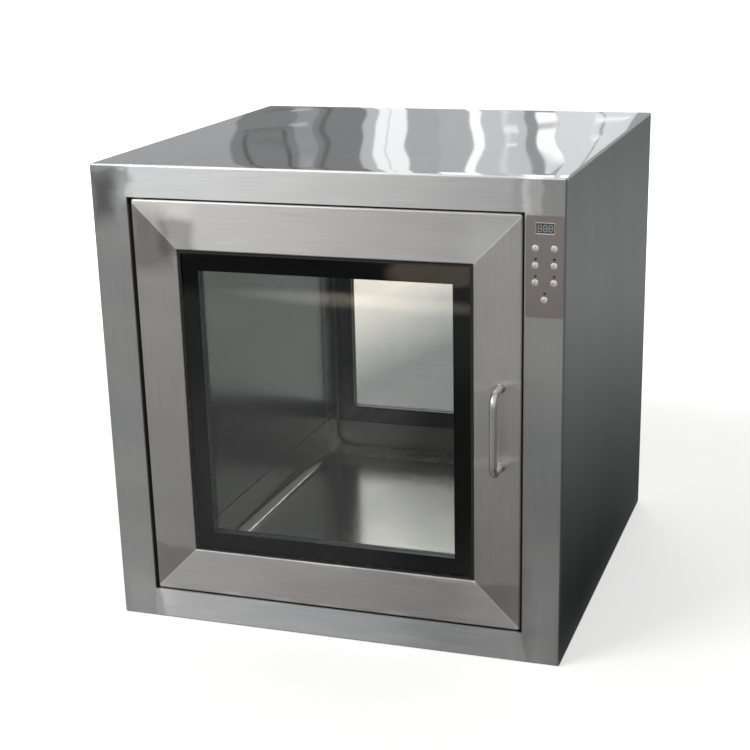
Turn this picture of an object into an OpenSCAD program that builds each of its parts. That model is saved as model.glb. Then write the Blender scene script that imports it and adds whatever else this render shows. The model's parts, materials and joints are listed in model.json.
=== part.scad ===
// Cleanroom pass box: a stainless steel transfer hatch with two double-glazed doors,
// a coved chamber between them, an electromagnetic interlock, two lamps and a key panel.
// Millimetres, +Z up. The origin is the centre of the base, on the surface it stands on.
// The front faces -Y. The rear door is the front door turned half a turn about Z.

/* [Casing] */
// Width over the side panels
body_w = 600; // [585:5:640]
// Depth over the two door frames, without the handles
body_d = 590; // [560:5:640]
// Height of the casing
body_h = 608; // [590:2:650]
// Thickness of the stainless steel sheet
sheet = 1.5; // [1.2:0.1:1.8]
// Outside radius of every folded edge
fold_r = 2.5; // [2.2:0.1:3]
// Depth of the fold that turns round the edges of frames and panels
edge_return = 3; // [3:0.5:6]
// Depth of the stiffening flanges inside the side panels
flange = 14; // [10:1:18]

/* [Door frame] */
// Width of the upright members
stile_w = 48; // [46:1:52]
// Height of the level members
rail_h = 40; // [38:1:46]

/* [Door leaf] */
// Thickness of the leaf over both skins
leaf_t = 25; // [24:0.5:28]
// Gap between leaf and frame on the hinge side
gap_hinge = 5.5; // [5:0.5:7]
// Gap between leaf and frame on the handle side
gap_lock = 3; // [2.5:0.5:4]
// Gap above the leaf
gap_top = 2.5; // [2.3:0.1:3.5]
// Gap below the leaf
gap_bottom = 3; // [2.5:0.1:4]
// Width of the leaf's upright members
leaf_stile_w = 58.5; // [54:0.5:70]
// Height of the leaf's level members
leaf_rail_h = 61; // [54:0.5:70]
// Distance of the hinge axis from the leaf's edge and from its face
pivot_in = 10; // [9.5:0.5:11]

/* [Glazing] */
// Thickness of each pane
pane_t = 4; // [3:0.5:5]
// How far the panes lie below the faces of the leaf
pane_set = 1; // [0.6:0.1:1.5]
// Width of the sealant bead round the panes
bead_w = 3; // [2:0.5:5]
// Width of the border printed on each pane
border_w = 22.5; // [16:0.5:30]
// Width of the aluminium spacer bar between the panes
spacer_w = 10; // [6:0.5:12]

/* [Chamber] */
// Landing between the door opening and the chamber's mouth, at each side
landing_side = 60; // [56:1:68]
// Landing above and below the chamber's mouth
landing_end = 26; // [25:1:34]
// Radius of the chamber's corners and coves
cove_r = 20; // [14:1:28]
// Depth of the collar behind each mouth
collar_d = 50; // [30:1:80]
// Outside radius of the rolled lip of each mouth
lip_r = 4; // [3:0.5:5]
// Height of the coved edges of the floor pan and the ceiling pan
upturn = 54; // [34:1:80]

/* [Door seal] */
// Width of the rubber profile
seal_w = 10; // [8:0.5:10]
// Height of the rubber profile
seal_t = 4.7; // [4:0.1:6]
// Distance from the chamber's mouth to the profile
seal_out = 7; // [6.5:0.5:8]

/* [Pivots] */
// Diameter of the hinge pins
pin_d = 6; // [5:0.5:6.5]
// Radial running clearance of a pin in its bush
pin_fit = 0.05; // [0.02:0.01:0.09]
// Wall thickness of a bush
bush_wall = 2; // [1.5:0.5:2.5]
// Thickness of a bush's flange
bush_flange = 1.5; // [1:0.1:1.6]
// Length of a bush below its flange
bush_len = 13; // [10:1:16]
// Diameter of the thrust collar on a pin
thrust_d = 11; // [10:0.5:12]

/* [Handle] */
// Diameter of the rod
rod_d = 9; // [8:0.5:12]
// Distance between the centres of the two legs
handle_pitch = 100; // [80:1:160]
// Distance from the leaf's face to the centre of the grip
handle_reach = 36; // [30:1:50]
// Bend radius at the centre of the rod
handle_bend = 14; // [11:0.5:18]
// Distance from the leaf's edge to the legs
handle_in = 25; // [20:1:36]
// Height of the grip's middle above the base
handle_z = 307; // [240:1:400]

/* [Interlock] */
// Width of the holding magnet's face
magnet_w = 32; // [26:1:33]
// Height of the holding magnet's face
magnet_h = 110; // [80:2:140]
// Depth of the holding magnet behind the landing's face
magnet_d = 28; // [20:1:40]
// Height of the door sensors above the base
sensor_z = 420; // [400:2:470]
// Diameter of the door sensors and of their magnets
sensor_d = 8; // [6:0.5:10]

/* [Key panel] */
// Width of the panel plate
plate_w = 44; // [42:1:45]
// Height of the panel plate
plate_h = 119; // [116:1:140]
// Thickness of the panel plate
plate_t = 1.2; // [1:0.1:2]
// Distance from the top of the casing to the plate
plate_drop = 43; // [42:1:120]
// Diameter of a key
key_d = 8; // [7:0.5:9]
// Height of a key above the plate
key_proud = 1.8; // [1.5:0.1:3]
// Travel of a key when it is pressed
key_travel = 1; // [0.6:0.1:1.2]
// Radial gap between a key and its hole
key_gap = 0.3; // [0.25:0.05:0.5]
// Distance between the two columns of keys
key_pitch_x = 22; // [20:0.5:24]
// Distance between the rows of keys
key_pitch_z = 20; // [18:0.5:22]
// Distance from the plate's top edge to the first row of keys
key_drop = 37.5; // [35:0.5:42]
// Diameter of an indicator lamp
led_d = 3; // [2:0.5:4]
// Height of an indicator lamp above its key
led_up = 7.5; // [7:0.25:8.5]
// Width of the display's window
display_w = 22; // [18:1:24]
// Height of the display's window
display_h = 13; // [10:1:14]
// Distance from the plate's top edge to the middle of the display
display_drop = 14.5; // [12:0.5:16]
// Distance from the plate's back to the circuit board
board_gap = 8; // [7.5:0.5:12]
// Thickness of the circuit board
board_t = 1.6; // [1:0.2:2.4]

/* [Lamps] */
// Diameter of the lamp tubes
tube_d = 16; // [12:1:18]
// Length of the lamp tubes between their pins
tube_len = 288; // [220:2:300]
// Distance from the ceiling to the centre of the tubes
lamp_drop = 28; // [22:1:40]
// Distance between the centres of the two tubes
lamp_pitch = 60; // [40:1:120]

/* [Power] */
// Depth of the power supply, out from the chamber's wall
supply_t = 38; // [30:1:50]
// Length of the power supply
supply_len = 129; // [110:1:160]
// Height of the power supply
supply_h = 98; // [80:1:120]
// Width of the lamp ballast
ballast_w = 30; // [24:1:40]
// Length of the lamp ballast
ballast_len = 150; // [120:1:200]
// Height of the lamp ballast
ballast_h = 22; // [18:1:28]
// Bore of the mains cable gland
gland_bore_d = 9; // [6:0.5:10]
// Distance from the side of the casing to the cable gland
gland_in = 100; // [70:1:200]

/* [Hidden] */
$fn = 48;

// Small clearances and fixed details
seat_gap = 0.3;          // door parts to the landing
fit = 0.1;               // fixed parts in their cut-outs
print_t = 0.3;           // printed border on a pane
pin_shoulder = 8;        // height of a pin's shoulder inside the leaf
land_lap = 10;           // how far a landing laps behind its frame
armature_edge = 2;       // how far an armature stays inside its magnet's sides
armature_end = 10;       // how far it stays inside the magnet's ends
stud_d = 3;
stud_tip = 1.5;          // how far a stud stands out of its nut
nut_d = 7;
nut_t = 2.6;
tab = 12;                // length of a fixing tab
joint_w = 1.4;           // width of the joints between the chamber's sheets
joint_d = 0.7;           // depth of those joints, which sealant fills

steel = [0.72, 0.73, 0.74];
bright = [0.80, 0.81, 0.83];
dark_steel = [0.36, 0.38, 0.38];
black = [0.05, 0.05, 0.05];

// Door opening, in the plane of a door frame
opening_w = body_w - 2*stile_w;
opening_h = body_h - 2*rail_h;
reveal_d = leaf_t + seal_t + seat_gap;
mid_z = body_h/2;

// Leaf, seen from its own side with the hinge on the left
leaf_w = opening_w - gap_hinge - gap_lock;
leaf_h = opening_h - gap_top - gap_bottom;
leaf_x = (gap_hinge - gap_lock)/2;
leaf_z = rail_h + gap_bottom + leaf_h/2;
pivot_x = leaf_x - leaf_w/2 + pivot_in;
pocket_w = leaf_w - 2*leaf_stile_w;
pocket_h = leaf_h - 2*leaf_rail_h;
pane_w = pocket_w - 2*bead_w;
pane_h = pocket_h - 2*bead_w;
clear_w = pane_w - 2*border_w;
clear_h = pane_h - 2*border_w;
cavity_top = pane_set + pane_t + print_t;
cavity_bottom = leaf_t - cavity_top;

// Chamber
chamber_w = opening_w - 2*landing_side;
chamber_h = opening_h - 2*landing_end;
rim_y = body_d/2 - reveal_d;
bay_d = 2*(rim_y - collar_d);
ceiling_z = mid_z + chamber_h/2;

// Interlock: magnet centred between the door seal and the opening's edge
magnet_x = (chamber_w/2 + seal_out + seal_w + opening_w/2)/2;
armature_w = magnet_w - 2*armature_edge;
armature_h = magnet_h - 2*armature_end;

// Key panel
plate_x = opening_w/2 + stile_w/2;
plate_z = body_h - plate_drop - plate_h/2;
plate_top = body_h - plate_drop;
plate_corner_r = 2.5;
cutout_in = [3, 3.5];    // how far the frame's cut-out stays inside the plate, across and up
board_in = [4, 5.5];     // how far the board stays inside the plate
cutout_w = plate_w - 2*cutout_in[0];
cutout_h = plate_h - 2*cutout_in[1];
board_w = plate_w - 2*board_in[0];
board_h = plate_h - 2*board_in[1];
spacer_d = 5;
spacer_x = board_w/2 - spacer_d/2 - 0.5;
spacer_z = board_h/2 - spacer_d/2 - 1.5;
display_set = 0.2;       // how far the display's window lies below the plate's face
display_lap = 1;         // how far its body laps behind the plate
switch_w = 6.2;
switch_t = 3.6;
plug = [22, 8, 9];       // width, height and depth of the board's plug
plug_down = 30;
chip = [14, 14, 3];
chip_up = 5;
key_flange_t = 1.2;
key_flange_r = key_d/2 + 0.8;
key_stem_r = 1.6;
key_dome = 0.7;
// Column (-1, 0 or 1) and row of each key; all but the first row have a lamp
KEYS = [[-1, 0], [1, 0], [-1, 1], [1, 1], [-1, 2], [1, 2], [0, 3]];

function key_x(k) = plate_x + KEYS[k][0]*key_pitch_x/2;
function key_z(k) = plate_top - key_drop - KEYS[k][1]*key_pitch_z;

// ---- Placing ------------------------------------------------------------------

// Face coordinates: x to the right, y up from the base, z out of the door frame's face
module at_front() { translate([0, -body_d/2, 0]) rotate([90, 0, 0]) children(); }
module at_rear() { rotate([0, 0, 180]) at_front() children(); }
module at_keys() { for (k = [0:len(KEYS) - 1]) translate([key_x(k), key_z(k), 0]) children(); }
module upright(x, y, z) { translate([x, y, z]) rotate([-90, 0, 0]) children(); }

// ---- Outlines -----------------------------------------------------------------

module rounded(w, h, r) {
    square([w - 2*r, h], center = true);
    square([w, h - 2*r], center = true);
    for (sx = [-1, 1], sy = [-1, 1]) translate([sx*(w/2 - r), sy*(h/2 - r)]) circle(r = r);
}

module ring(w, h, wall) {
    difference() {
        square([w, h], center = true);
        square([w - 2*wall, h - 2*wall], center = true);
    }
}

// Sweeps a profile (x outward, y out of the face) round a rectangle with corner radius r
module loop(w, h, r) {
    for (k = [0:3]) rotate([0, 0, 90*k]) {
        across = k%2 == 0 ? w : h;
        along = k%2 == 0 ? h : w;
        translate([across/2, along/2 - r, 0]) rotate([90, 0, 0]) linear_extrude(along - 2*r) children();
        translate([across/2 - r, along/2 - r, 0]) rotate_extrude(angle = 90) translate([r, 0]) children();
    }
}

// Section of a folded edge: a quarter turn and the wall that runs back from it
module fold_section(r, depth) {
    difference() {
        translate([-r, -r]) intersection() {
            circle(r = r);
            square(r);
        }
        translate([-r, -r]) circle(r = r - sheet);
    }
    translate([-sheet, -depth]) square([sheet, depth - r]);
}

// ---- Casing -------------------------------------------------------------------

module folded_lid() {
    run = body_d - 2*edge_return;
    rotate([90, 0, 0]) translate([0, 0, -run/2]) linear_extrude(run) {
        translate([0, -sheet/2]) square([body_w - 2*fold_r, sheet], center = true);
        for (m = [0, 1]) mirror([m, 0]) translate([body_w/2, 0]) fold_section(fold_r, edge_return);
    }
}

module side_sheet() {
    run = body_d - 2*edge_return;
    high = body_h - 2*edge_return;
    translate([body_w/2 - sheet, -run/2, edge_return]) cube([sheet, run, high]);
    for (z = [edge_return, body_h - edge_return - sheet])
        translate([body_w/2 - flange, -run/2, z]) cube([flange, run, sheet]);
}

module frame_sheet() {
    translate([0, mid_z, 0]) {
        translate([0, 0, -sheet]) linear_extrude(sheet) difference() {
            square([body_w - 2*fold_r, body_h - 2*fold_r], center = true);
            square([opening_w, opening_h], center = true);
        }
        loop(body_w, body_h, fold_r) fold_section(fold_r, edge_return);
        translate([0, 0, -reveal_d]) linear_extrude(reveal_d)
            ring(opening_w + 2*sheet, opening_h + 2*sheet, sheet);
    }
}

module bush_holes() {
    r = pin_d/2 + pin_fit + bush_wall + fit;
    upright(pivot_x, rail_h - 2*sheet, -pivot_in) cylinder(r = r, h = 4*sheet);
    upright(pivot_x, body_h - rail_h - 2*sheet, -pivot_in) cylinder(r = r, h = 4*sheet);
}

module top_panel() color(bright) translate([0, 0, body_h]) folded_lid();
module base_panel() color(steel) mirror([0, 0, 1]) folded_lid();
module right_panel() color(dark_steel) side_sheet();
module left_panel() color(dark_steel) mirror([1, 0, 0]) side_sheet();

module front_frame() color(steel) at_front() difference() {
    frame_sheet();
    bush_holes();
    translate([plate_x, plate_z, -2*sheet]) linear_extrude(3*sheet)
        square([cutout_w, cutout_h], center = true);
}

module rear_frame() color(steel) at_rear() difference() {
    frame_sheet();
    bush_holes();
    translate([gland_x, rail_h/2, -2*sheet]) cylinder(r = gland_thread_r + fit, h = 4*sheet);
}

// ---- Chamber ------------------------------------------------------------------

// Drawn collar: a flat landing with a rolled lip that runs into a coved sleeve
module collar() {
    difference() {
        translate([0, mid_z, -reveal_d]) {
            translate([0, 0, -sheet]) linear_extrude(sheet) difference() {
                square([opening_w + 2*land_lap, opening_h + 2*land_lap], center = true);
                rounded(chamber_w + 2*lip_r, chamber_h + 2*lip_r, cove_r + lip_r);
            }
            loop(chamber_w, chamber_h, cove_r) mirror([1, 0]) fold_section(lip_r, collar_d);
        }
        translate([magnet_x, handle_z, -reveal_d - 2*sheet]) linear_extrude(3*sheet)
            square([magnet_w + 2*fit, magnet_h + 2*fit], center = true);
        translate([magnet_x, sensor_z, -reveal_d - 2*sheet]) cylinder(r = sensor_d/2 + fit, h = 3*sheet);
    }
}

module chamber_ring() {
    difference() {
        rounded(chamber_w + 2*sheet, chamber_h + 2*sheet, cove_r + sheet);
        rounded(chamber_w, chamber_h, cove_r);
    }
}

// Groove that runs round the inside at each end of the bay, where its sheets meet the collars
module end_joints() {
    for (m = [0, 1]) mirror([0, m, 0]) translate([0, bay_d/2 + fit, mid_z]) rotate([90, 0, 0])
        linear_extrude(joint_w + fit)
            rounded(chamber_w + 2*joint_d, chamber_h + 2*joint_d, cove_r + joint_d);
}

// The part of the chamber's wall between two heights above its floor
module chamber_band(low, high) difference() {
    translate([0, bay_d/2, mid_z]) rotate([90, 0, 0]) linear_extrude(bay_d) intersection() {
        chamber_ring();
        translate([-body_w/2, low - chamber_h/2]) square([body_w, high - low]);
    }
    end_joints();
}

// Flat wall between the pans' upturned edges, with a groove where it meets each of them
module side_wall() translate([0, 0, mid_z]) {
    high = chamber_h - 2*upturn;
    difference() {
        translate([chamber_w/2, -bay_d/2, -high/2]) cube([sheet, bay_d, high]);
        for (m = [0, 1]) mirror([0, 0, m]) translate([chamber_w/2 - fit, -bay_d/2 - fit, -high/2 - fit])
            cube([joint_d + fit, bay_d + 2*fit, joint_w + fit]);
        translate([0, 0, -mid_z]) end_joints();
    }
}

module front_collar() color(steel) at_front() collar();
module rear_collar() color(steel) at_rear() collar();
module floor_pan() color(steel) chamber_band(-2*sheet, upturn);
module ceiling_pan() color(steel) chamber_band(chamber_h - upturn, chamber_h + 2*sheet);
module right_wall() color(steel) side_wall();
module left_wall() color(steel) mirror([1, 0, 0]) side_wall();

// ---- Lamps and power ----------------------------------------------------------

cap_len = 10;
cap_step = 0.3;          // how far a cap stands proud of its tube
holder_t = 14;
holder_wall = 3;
holder_seat = 3;
tube_z = ceiling_z - lamp_drop;
prong_len = 7;
prong_pitch = 5;
prong_r = 1.2;

// Tube along y with a metal cap and two prongs at each end
module lamp_tube() {
    rotate([90, 0, 0]) {
        translate([0, 0, cap_len - tube_len/2]) cylinder(d = tube_d - 2*cap_step, h = tube_len - 2*cap_len);
        for (m = [0, 1]) mirror([0, 0, m]) {
            translate([0, 0, tube_len/2 - cap_len]) cylinder(d = tube_d, h = cap_len);
            for (s = [-1, 1]) translate([0, s*prong_pitch/2, tube_len/2])
                cylinder(r = prong_r, h = prong_len);
        }
    }
}

// Socket for the tube's far end, hung from the ceiling
module lamp_holder() {
    seat_r = tube_d/2 + fit;
    outer_r = seat_r + holder_wall;
    difference() {
        union() {
            upright(0, 0, 0) cylinder(r = outer_r, h = holder_t);
            translate([-outer_r, 0, 0]) cube([2*outer_r, holder_t, lamp_drop]);
        }
        upright(0, -fit, 0) cylinder(r = seat_r, h = holder_seat + fit);
        for (s = [-1, 1]) upright(0, 0, s*prong_pitch/2)
            cylinder(r = prong_r + fit, h = holder_seat + prong_len + 2*fit);
    }
}

module uv_lamp() color([0.75, 0.80, 0.92]) translate([-lamp_pitch/2, 0, tube_z]) lamp_tube();
module white_lamp() color([0.95, 0.95, 0.92]) translate([lamp_pitch/2, 0, tube_z]) lamp_tube();

module lamp_holders() color([0.92, 0.92, 0.90])
    for (s = [-1, 1], m = [0, 1]) mirror([0, m, 0])
        translate([s*lamp_pitch/2, tube_len/2 - holder_seat, tube_z]) lamp_holder();

// A folded housing with a fixing tab at each end, standing on z = 0, long in y
module housing(size) {
    difference() {
        union() {
            translate([-size[0]/2, -size[1]/2, 0]) cube(size);
            translate([-size[0]/2, -size[1]/2 - tab, 0]) cube([size[0], size[1] + 2*tab, sheet]);
        }
        for (s = [-1, 1]) translate([0, s*(size[1] + tab)/2, -fit])
            cylinder(r = stud_d/2 + fit, h = 2*sheet);
    }
}

module at_supply() { translate([chamber_w/2 + sheet, 0, mid_z]) rotate([0, 90, 0]) children(); }
module at_ballast() { translate([0, 0, ceiling_z + sheet]) children(); }

vent_in = 24.5;          // how far the vents stay inside the supply's ends
vent_side = 19;          // and inside its sides
vent_w = 3;
vent_pitch = 8;
vent_depth = 1;

module slot2d(long, wide) {
    square([long - wide, wide], center = true);
    for (s = [-1, 1]) translate([s*(long - wide)/2, 0]) circle(d = wide);
}

module power_supply() color([0.70, 0.71, 0.70]) at_supply() {
    pairs = floor((supply_len/2 - vent_in)/vent_pitch);
    difference() {
        housing([supply_h, supply_len, supply_t]);
        for (k = [-pairs:pairs]) translate([0, k*vent_pitch, supply_t - vent_depth])
            linear_extrude(vent_depth + fit) slot2d(supply_h - 2*vent_side, vent_w);
    }
}

module lamp_ballast() color([0.90, 0.90, 0.88]) at_ballast() housing([ballast_w, ballast_len, ballast_h]);

gland_x = body_w/2 - gland_in;
gland_thread_r = 8;
gland_thread_len = 9;
gland_hex_r = 12.5;
gland_hex_t = 5;
gland_cap_r = 10.5;
gland_cap_h = 21;
gland_nose = 9;          // length of the cap's tapered nose
gland_rim = 2;           // and of the bevel at its end

module cable_gland() color(black) at_rear() translate([gland_x, rail_h/2, 0]) {
    end = -sheet - gland_thread_len;
    nose_r = gland_cap_r - 2.5;
    difference() {
        union() {
            cylinder(r = gland_hex_r, h = gland_hex_t, $fn = 6);
            rotate_extrude() polygon([
                [0, 0], [gland_cap_r, 0], [gland_cap_r, gland_cap_h - gland_nose],
                [nose_r, gland_cap_h - gland_rim], [nose_r - 0.75*gland_rim, gland_cap_h], [0, gland_cap_h]]);
            translate([0, 0, end]) cylinder(r = gland_thread_r, h = -end + fit);
            translate([0, 0, -sheet - gland_hex_t])
                cylinder(r = gland_hex_r, h = gland_hex_t, $fn = 6);
        }
        translate([0, 0, end - fit]) cylinder(d = gland_bore_d, h = gland_cap_h - end + 2*fit);
    }
}

// ---- Interlock ----------------------------------------------------------------

module magnet() {
    difference() {
        union() {
            translate([-magnet_w/2, -magnet_h/2, -magnet_d]) cube([magnet_w, magnet_h, magnet_d]);
            translate([-magnet_w/2, -magnet_h/2 - tab, -2*sheet]) cube([magnet_w, magnet_h + 2*tab, sheet]);
        }
        for (s = [-1, 1]) translate([0, s*(magnet_h + tab)/2, -3*sheet])
            cylinder(r = stud_d/2 + fit, h = 3*sheet);
    }
}

module at_magnet() { translate([magnet_x, handle_z, -reveal_d]) children(); }

sensor_len = 20;
sensor_nut_r = sensor_d/2 + 3.2;
sensor_nut_t = 4;
sensor_magnet_len = 6;

module sensor() {
    translate([magnet_x, sensor_z, -reveal_d]) {
        translate([0, 0, -sensor_len]) cylinder(d = sensor_d, h = sensor_len);
        translate([0, 0, -sheet - sensor_nut_t])
            cylinder(r = sensor_nut_r, h = sensor_nut_t, $fn = 6);
    }
}

module front_magnet() color([0.55, 0.56, 0.58]) at_front() at_magnet() magnet();
module rear_magnet() color([0.55, 0.56, 0.58]) at_rear() at_magnet() magnet();
module door_sensors() color([0.20, 0.20, 0.22]) {
    at_front() sensor();
    at_rear() sensor();
}

// ---- Key panel ----------------------------------------------------------------

module panel_plate() color([0.60, 0.58, 0.55]) at_front() difference() {
    translate([plate_x, plate_z, 0]) linear_extrude(plate_t) rounded(plate_w, plate_h, plate_corner_r);
    translate([plate_x, plate_top - display_drop, -plate_t]) linear_extrude(3*plate_t)
        square([display_w + 2*fit, display_h + 2*fit], center = true);
    at_keys() translate([0, 0, -plate_t]) cylinder(r = key_d/2 + key_gap, h = 3*plate_t);
    for (k = [2:len(KEYS) - 1]) translate([key_x(k), key_z(k) + led_up, -plate_t])
        cylinder(r = led_d/2 + fit, h = 3*plate_t);
}

module display() color([0.30, 0.33, 0.31]) at_front() translate([plate_x, plate_top - display_drop, 0]) {
    translate([0, 0, -board_gap]) linear_extrude(board_gap)
        square([display_w + 2*display_lap, display_h + 2*display_lap], center = true);
    linear_extrude(plate_t - display_set) square([display_w, display_h], center = true);
}

module indicator_leds() color([0.85, 0.35, 0.25]) at_front()
    for (k = [2:len(KEYS) - 1]) translate([key_x(k), key_z(k) + led_up, -board_gap]) rotate_extrude() {
        square([led_d/2, board_gap + plate_t]);
        translate([0, board_gap + plate_t]) intersection() {
            circle(d = led_d);
            square(led_d);
        }
    }

// A part on the back of the circuit board, some way up from its middle
module on_board(size, up) {
    translate([plate_x, plate_z + up, -board_gap - board_t - size[2]]) linear_extrude(size[2])
        square([size[0], size[1]], center = true);
}

module circuit_board() color([0.10, 0.35, 0.18]) at_front() difference() {
    union() {
        translate([plate_x, plate_z, -board_gap - board_t]) linear_extrude(board_t)
            square([board_w, board_h], center = true);
        at_keys() translate([0, 0, -board_gap]) linear_extrude(switch_t) square(switch_w, center = true);
        on_board(plug, -plug_down);
        on_board(chip, chip_up);
    }
    at_keys() translate([0, 0, -board_gap]) cylinder(r = key_stem_r + key_gap, h = switch_t + fit);
    at_spacers() translate([0, 0, -board_gap - 2*board_t]) cylinder(r = stud_d/2 + fit, h = 3*board_t);
}

module at_spacers() {
    for (sx = [-1, 1], sz = [-1, 1]) translate([plate_x + sx*spacer_x, plate_z + sz*spacer_z, 0]) children();
}

module board_spacers() color([0.80, 0.70, 0.35]) at_front() at_spacers()
    translate([0, 0, -board_gap]) cylinder(d = spacer_d, h = board_gap);

// Domed key with a retaining flange behind the plate and a stem that works its switch
module key(k) {
    crown_r = (pow(key_d/2, 2) + key_dome*key_dome)/(2*key_dome);
    top = plate_t + key_proud;
    stem_end = board_gap - switch_t + key_travel;
    color([0.86, 0.87, 0.88]) at_front() translate([key_x(k), key_z(k), 0]) {
        rotate_extrude() intersection() {
            translate([0, top - crown_r]) circle(r = crown_r, $fn = 180);
            square([key_d/2, top]);
        }
        translate([0, 0, -key_flange_t]) cylinder(r = key_flange_r, h = key_flange_t);
        translate([0, 0, -stem_end]) cylinder(r = key_stem_r, h = stem_end);
    }
}

// ---- Fixings ------------------------------------------------------------------

// A welded stud and its nut, on a sheet of thickness t that lies on z = 0
module stud(t) {
    cylinder(d = stud_d, h = t + nut_t + stud_tip);
    translate([0, 0, t]) cylinder(d = nut_d, h = nut_t, $fn = 6);
}

module magnet_studs() {
    at_magnet() for (s = [-1, 1]) translate([0, s*(magnet_h + tab)/2, -sheet]) mirror([0, 0, 1])
        stud(sheet);
}

module mounting_studs() color([0.78, 0.79, 0.80]) {
    at_front() magnet_studs();
    at_rear() magnet_studs();
    at_front() at_spacers() translate([0, 0, -board_gap]) mirror([0, 0, 1]) stud(board_t);
    at_supply() for (s = [-1, 1]) translate([0, s*(supply_len + tab)/2, 0]) stud(sheet);
    at_ballast() for (s = [-1, 1]) translate([0, s*(ballast_len + tab)/2, 0]) stud(sheet);
}

// ---- Hinges -------------------------------------------------------------------

bracket_w = 30;
bracket_h = 12;
bush_r = pin_d/2 + pin_fit + bush_wall;
bush_rim = 2;            // how far a bush's flange stands out

// Block welded in the corner between the frame's face and its level reveal
module bracket() {
    difference() {
        translate([-bracket_w/2, -sheet - bracket_h, sheet - 2*pivot_in])
            cube([bracket_w, bracket_h, 2*pivot_in - 2*sheet]);
        upright(0, -2*sheet - bracket_h, -pivot_in) cylinder(r = bush_r, h = bracket_h + 3*sheet);
    }
}

module bush() {
    upright(0, -bush_len, -pivot_in) difference() {
        union() {
            cylinder(r = bush_r, h = bush_len);
            translate([0, 0, bush_len]) cylinder(r = bush_r + bush_rim, h = bush_flange);
        }
        translate([0, 0, -fit]) cylinder(r = pin_d/2 + pin_fit, h = bush_len + bush_flange + 2*fit);
    }
}

// Lower and upper hinge points, each at the edge of the opening and facing into it
module at_pivots() {
    translate([pivot_x, rail_h, 0]) children();
    translate([pivot_x, body_h - rail_h, 0]) mirror([0, 1, 0]) children();
}

module pivot_brackets() color([0.60, 0.61, 0.62]) {
    at_front() at_pivots() bracket();
    at_rear() at_pivots() bracket();
}

module pivot_bushes() color([0.72, 0.58, 0.30]) {
    at_front() at_pivots() bush();
    at_rear() at_pivots() bush();
}

// Pin with a shoulder inside the leaf and a collar in the gap; lift is the gap's clearance
module pivot_pin(gap, lift) {
    reach = bush_len - 1;
    upright(0, 0, -pivot_in) {
        translate([0, 0, -reach]) cylinder(d = pin_d, h = reach + gap + sheet);
        translate([0, 0, bush_flange + lift]) cylinder(d = thrust_d, h = gap - bush_flange - lift);
        translate([0, 0, gap + sheet]) cylinder(d = 2*pin_d, h = pin_shoulder);
    }
}

module pivot_pins() color([0.66, 0.67, 0.68]) {
    translate([pivot_x, rail_h, 0]) pivot_pin(gap_bottom, 0);
    translate([pivot_x, body_h - rail_h, 0]) mirror([0, 1, 0]) pivot_pin(gap_top, seat_gap);
}

// ---- Door leaf ----------------------------------------------------------------

pocket_fold = sheet + 0.5;
skin_depth = leaf_t - sheet;
spacer_groove_w = 4;
spacer_groove_d = 1;
seal_bulge = 2.5;        // height of the seal's domed back

// Mitred and welded channel frame, open at the back
module leaf_frame() color(steel) difference() {
    translate([leaf_x, leaf_z, 0]) {
        translate([0, 0, -sheet]) linear_extrude(sheet) difference() {
            square([leaf_w - 2*fold_r, leaf_h - 2*fold_r], center = true);
            rounded(pocket_w + 2*pocket_fold, pocket_h + 2*pocket_fold, pocket_fold);
        }
        loop(leaf_w, leaf_h, fold_r) fold_section(fold_r, skin_depth);
        loop(pocket_w, pocket_h, 0) mirror([1, 0]) fold_section(pocket_fold, skin_depth);
    }
    upright(pivot_x, leaf_z - leaf_h/2 - sheet, -pivot_in) cylinder(r = pin_d/2 + fit, h = 3*sheet);
    upright(pivot_x, leaf_z + leaf_h/2 - 2*sheet, -pivot_in) cylinder(r = pin_d/2 + fit, h = 3*sheet);
}

// Flat inner skin that closes the channel
module leaf_skin() color(steel) difference() {
    translate([leaf_x, leaf_z, -leaf_t]) linear_extrude(sheet) difference() {
        rounded(leaf_w, leaf_h, fold_r);
        square([pocket_w, pocket_h], center = true);
    }
    translate([magnet_x, sensor_z, -leaf_t - sheet]) cylinder(r = sensor_d/2 + fit/2, h = 3*sheet);
}

module pane(top) {
    color([0.60, 0.68, 0.66, 0.35]) translate([leaf_x, leaf_z, -top - pane_t]) linear_extrude(pane_t)
        square([pane_w, pane_h], center = true);
}

module outer_pane() pane(pane_set);
module inner_pane() pane(leaf_t - pane_set - pane_t);

module pane_borders() color(black)
    for (z = [-cavity_top, -leaf_t + pane_set + pane_t]) translate([leaf_x, leaf_z, z])
        linear_extrude(print_t) ring(pane_w, pane_h, border_w);

// Aluminium bar with a groove along its visible side
module pane_spacer() color([0.75, 0.76, 0.77]) translate([leaf_x, leaf_z, 0]) difference() {
    translate([0, 0, -cavity_bottom]) linear_extrude(cavity_bottom - cavity_top)
        ring(clear_w + 2*spacer_w, clear_h + 2*spacer_w, spacer_w);
    translate([0, 0, -(leaf_t + spacer_groove_w)/2]) linear_extrude(spacer_groove_w)
        square([clear_w + 2*spacer_groove_d, clear_h + 2*spacer_groove_d], center = true);
}

// Bead round the panes with the tongue that seals the cavity between them
module glazing_bead() color([0.22, 0.22, 0.22]) translate([leaf_x, leaf_z, 0]) {
    bead_low = pane_set + 0.3;
    translate([0, 0, bead_low - leaf_t]) linear_extrude(leaf_t - 2*bead_low) ring(pocket_w, pocket_h, bead_w);
    translate([0, 0, -cavity_bottom]) linear_extrude(cavity_bottom - cavity_top)
        ring(pane_w + 2*fit, pane_h + 2*fit, border_w - spacer_w + fit);
}

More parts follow.
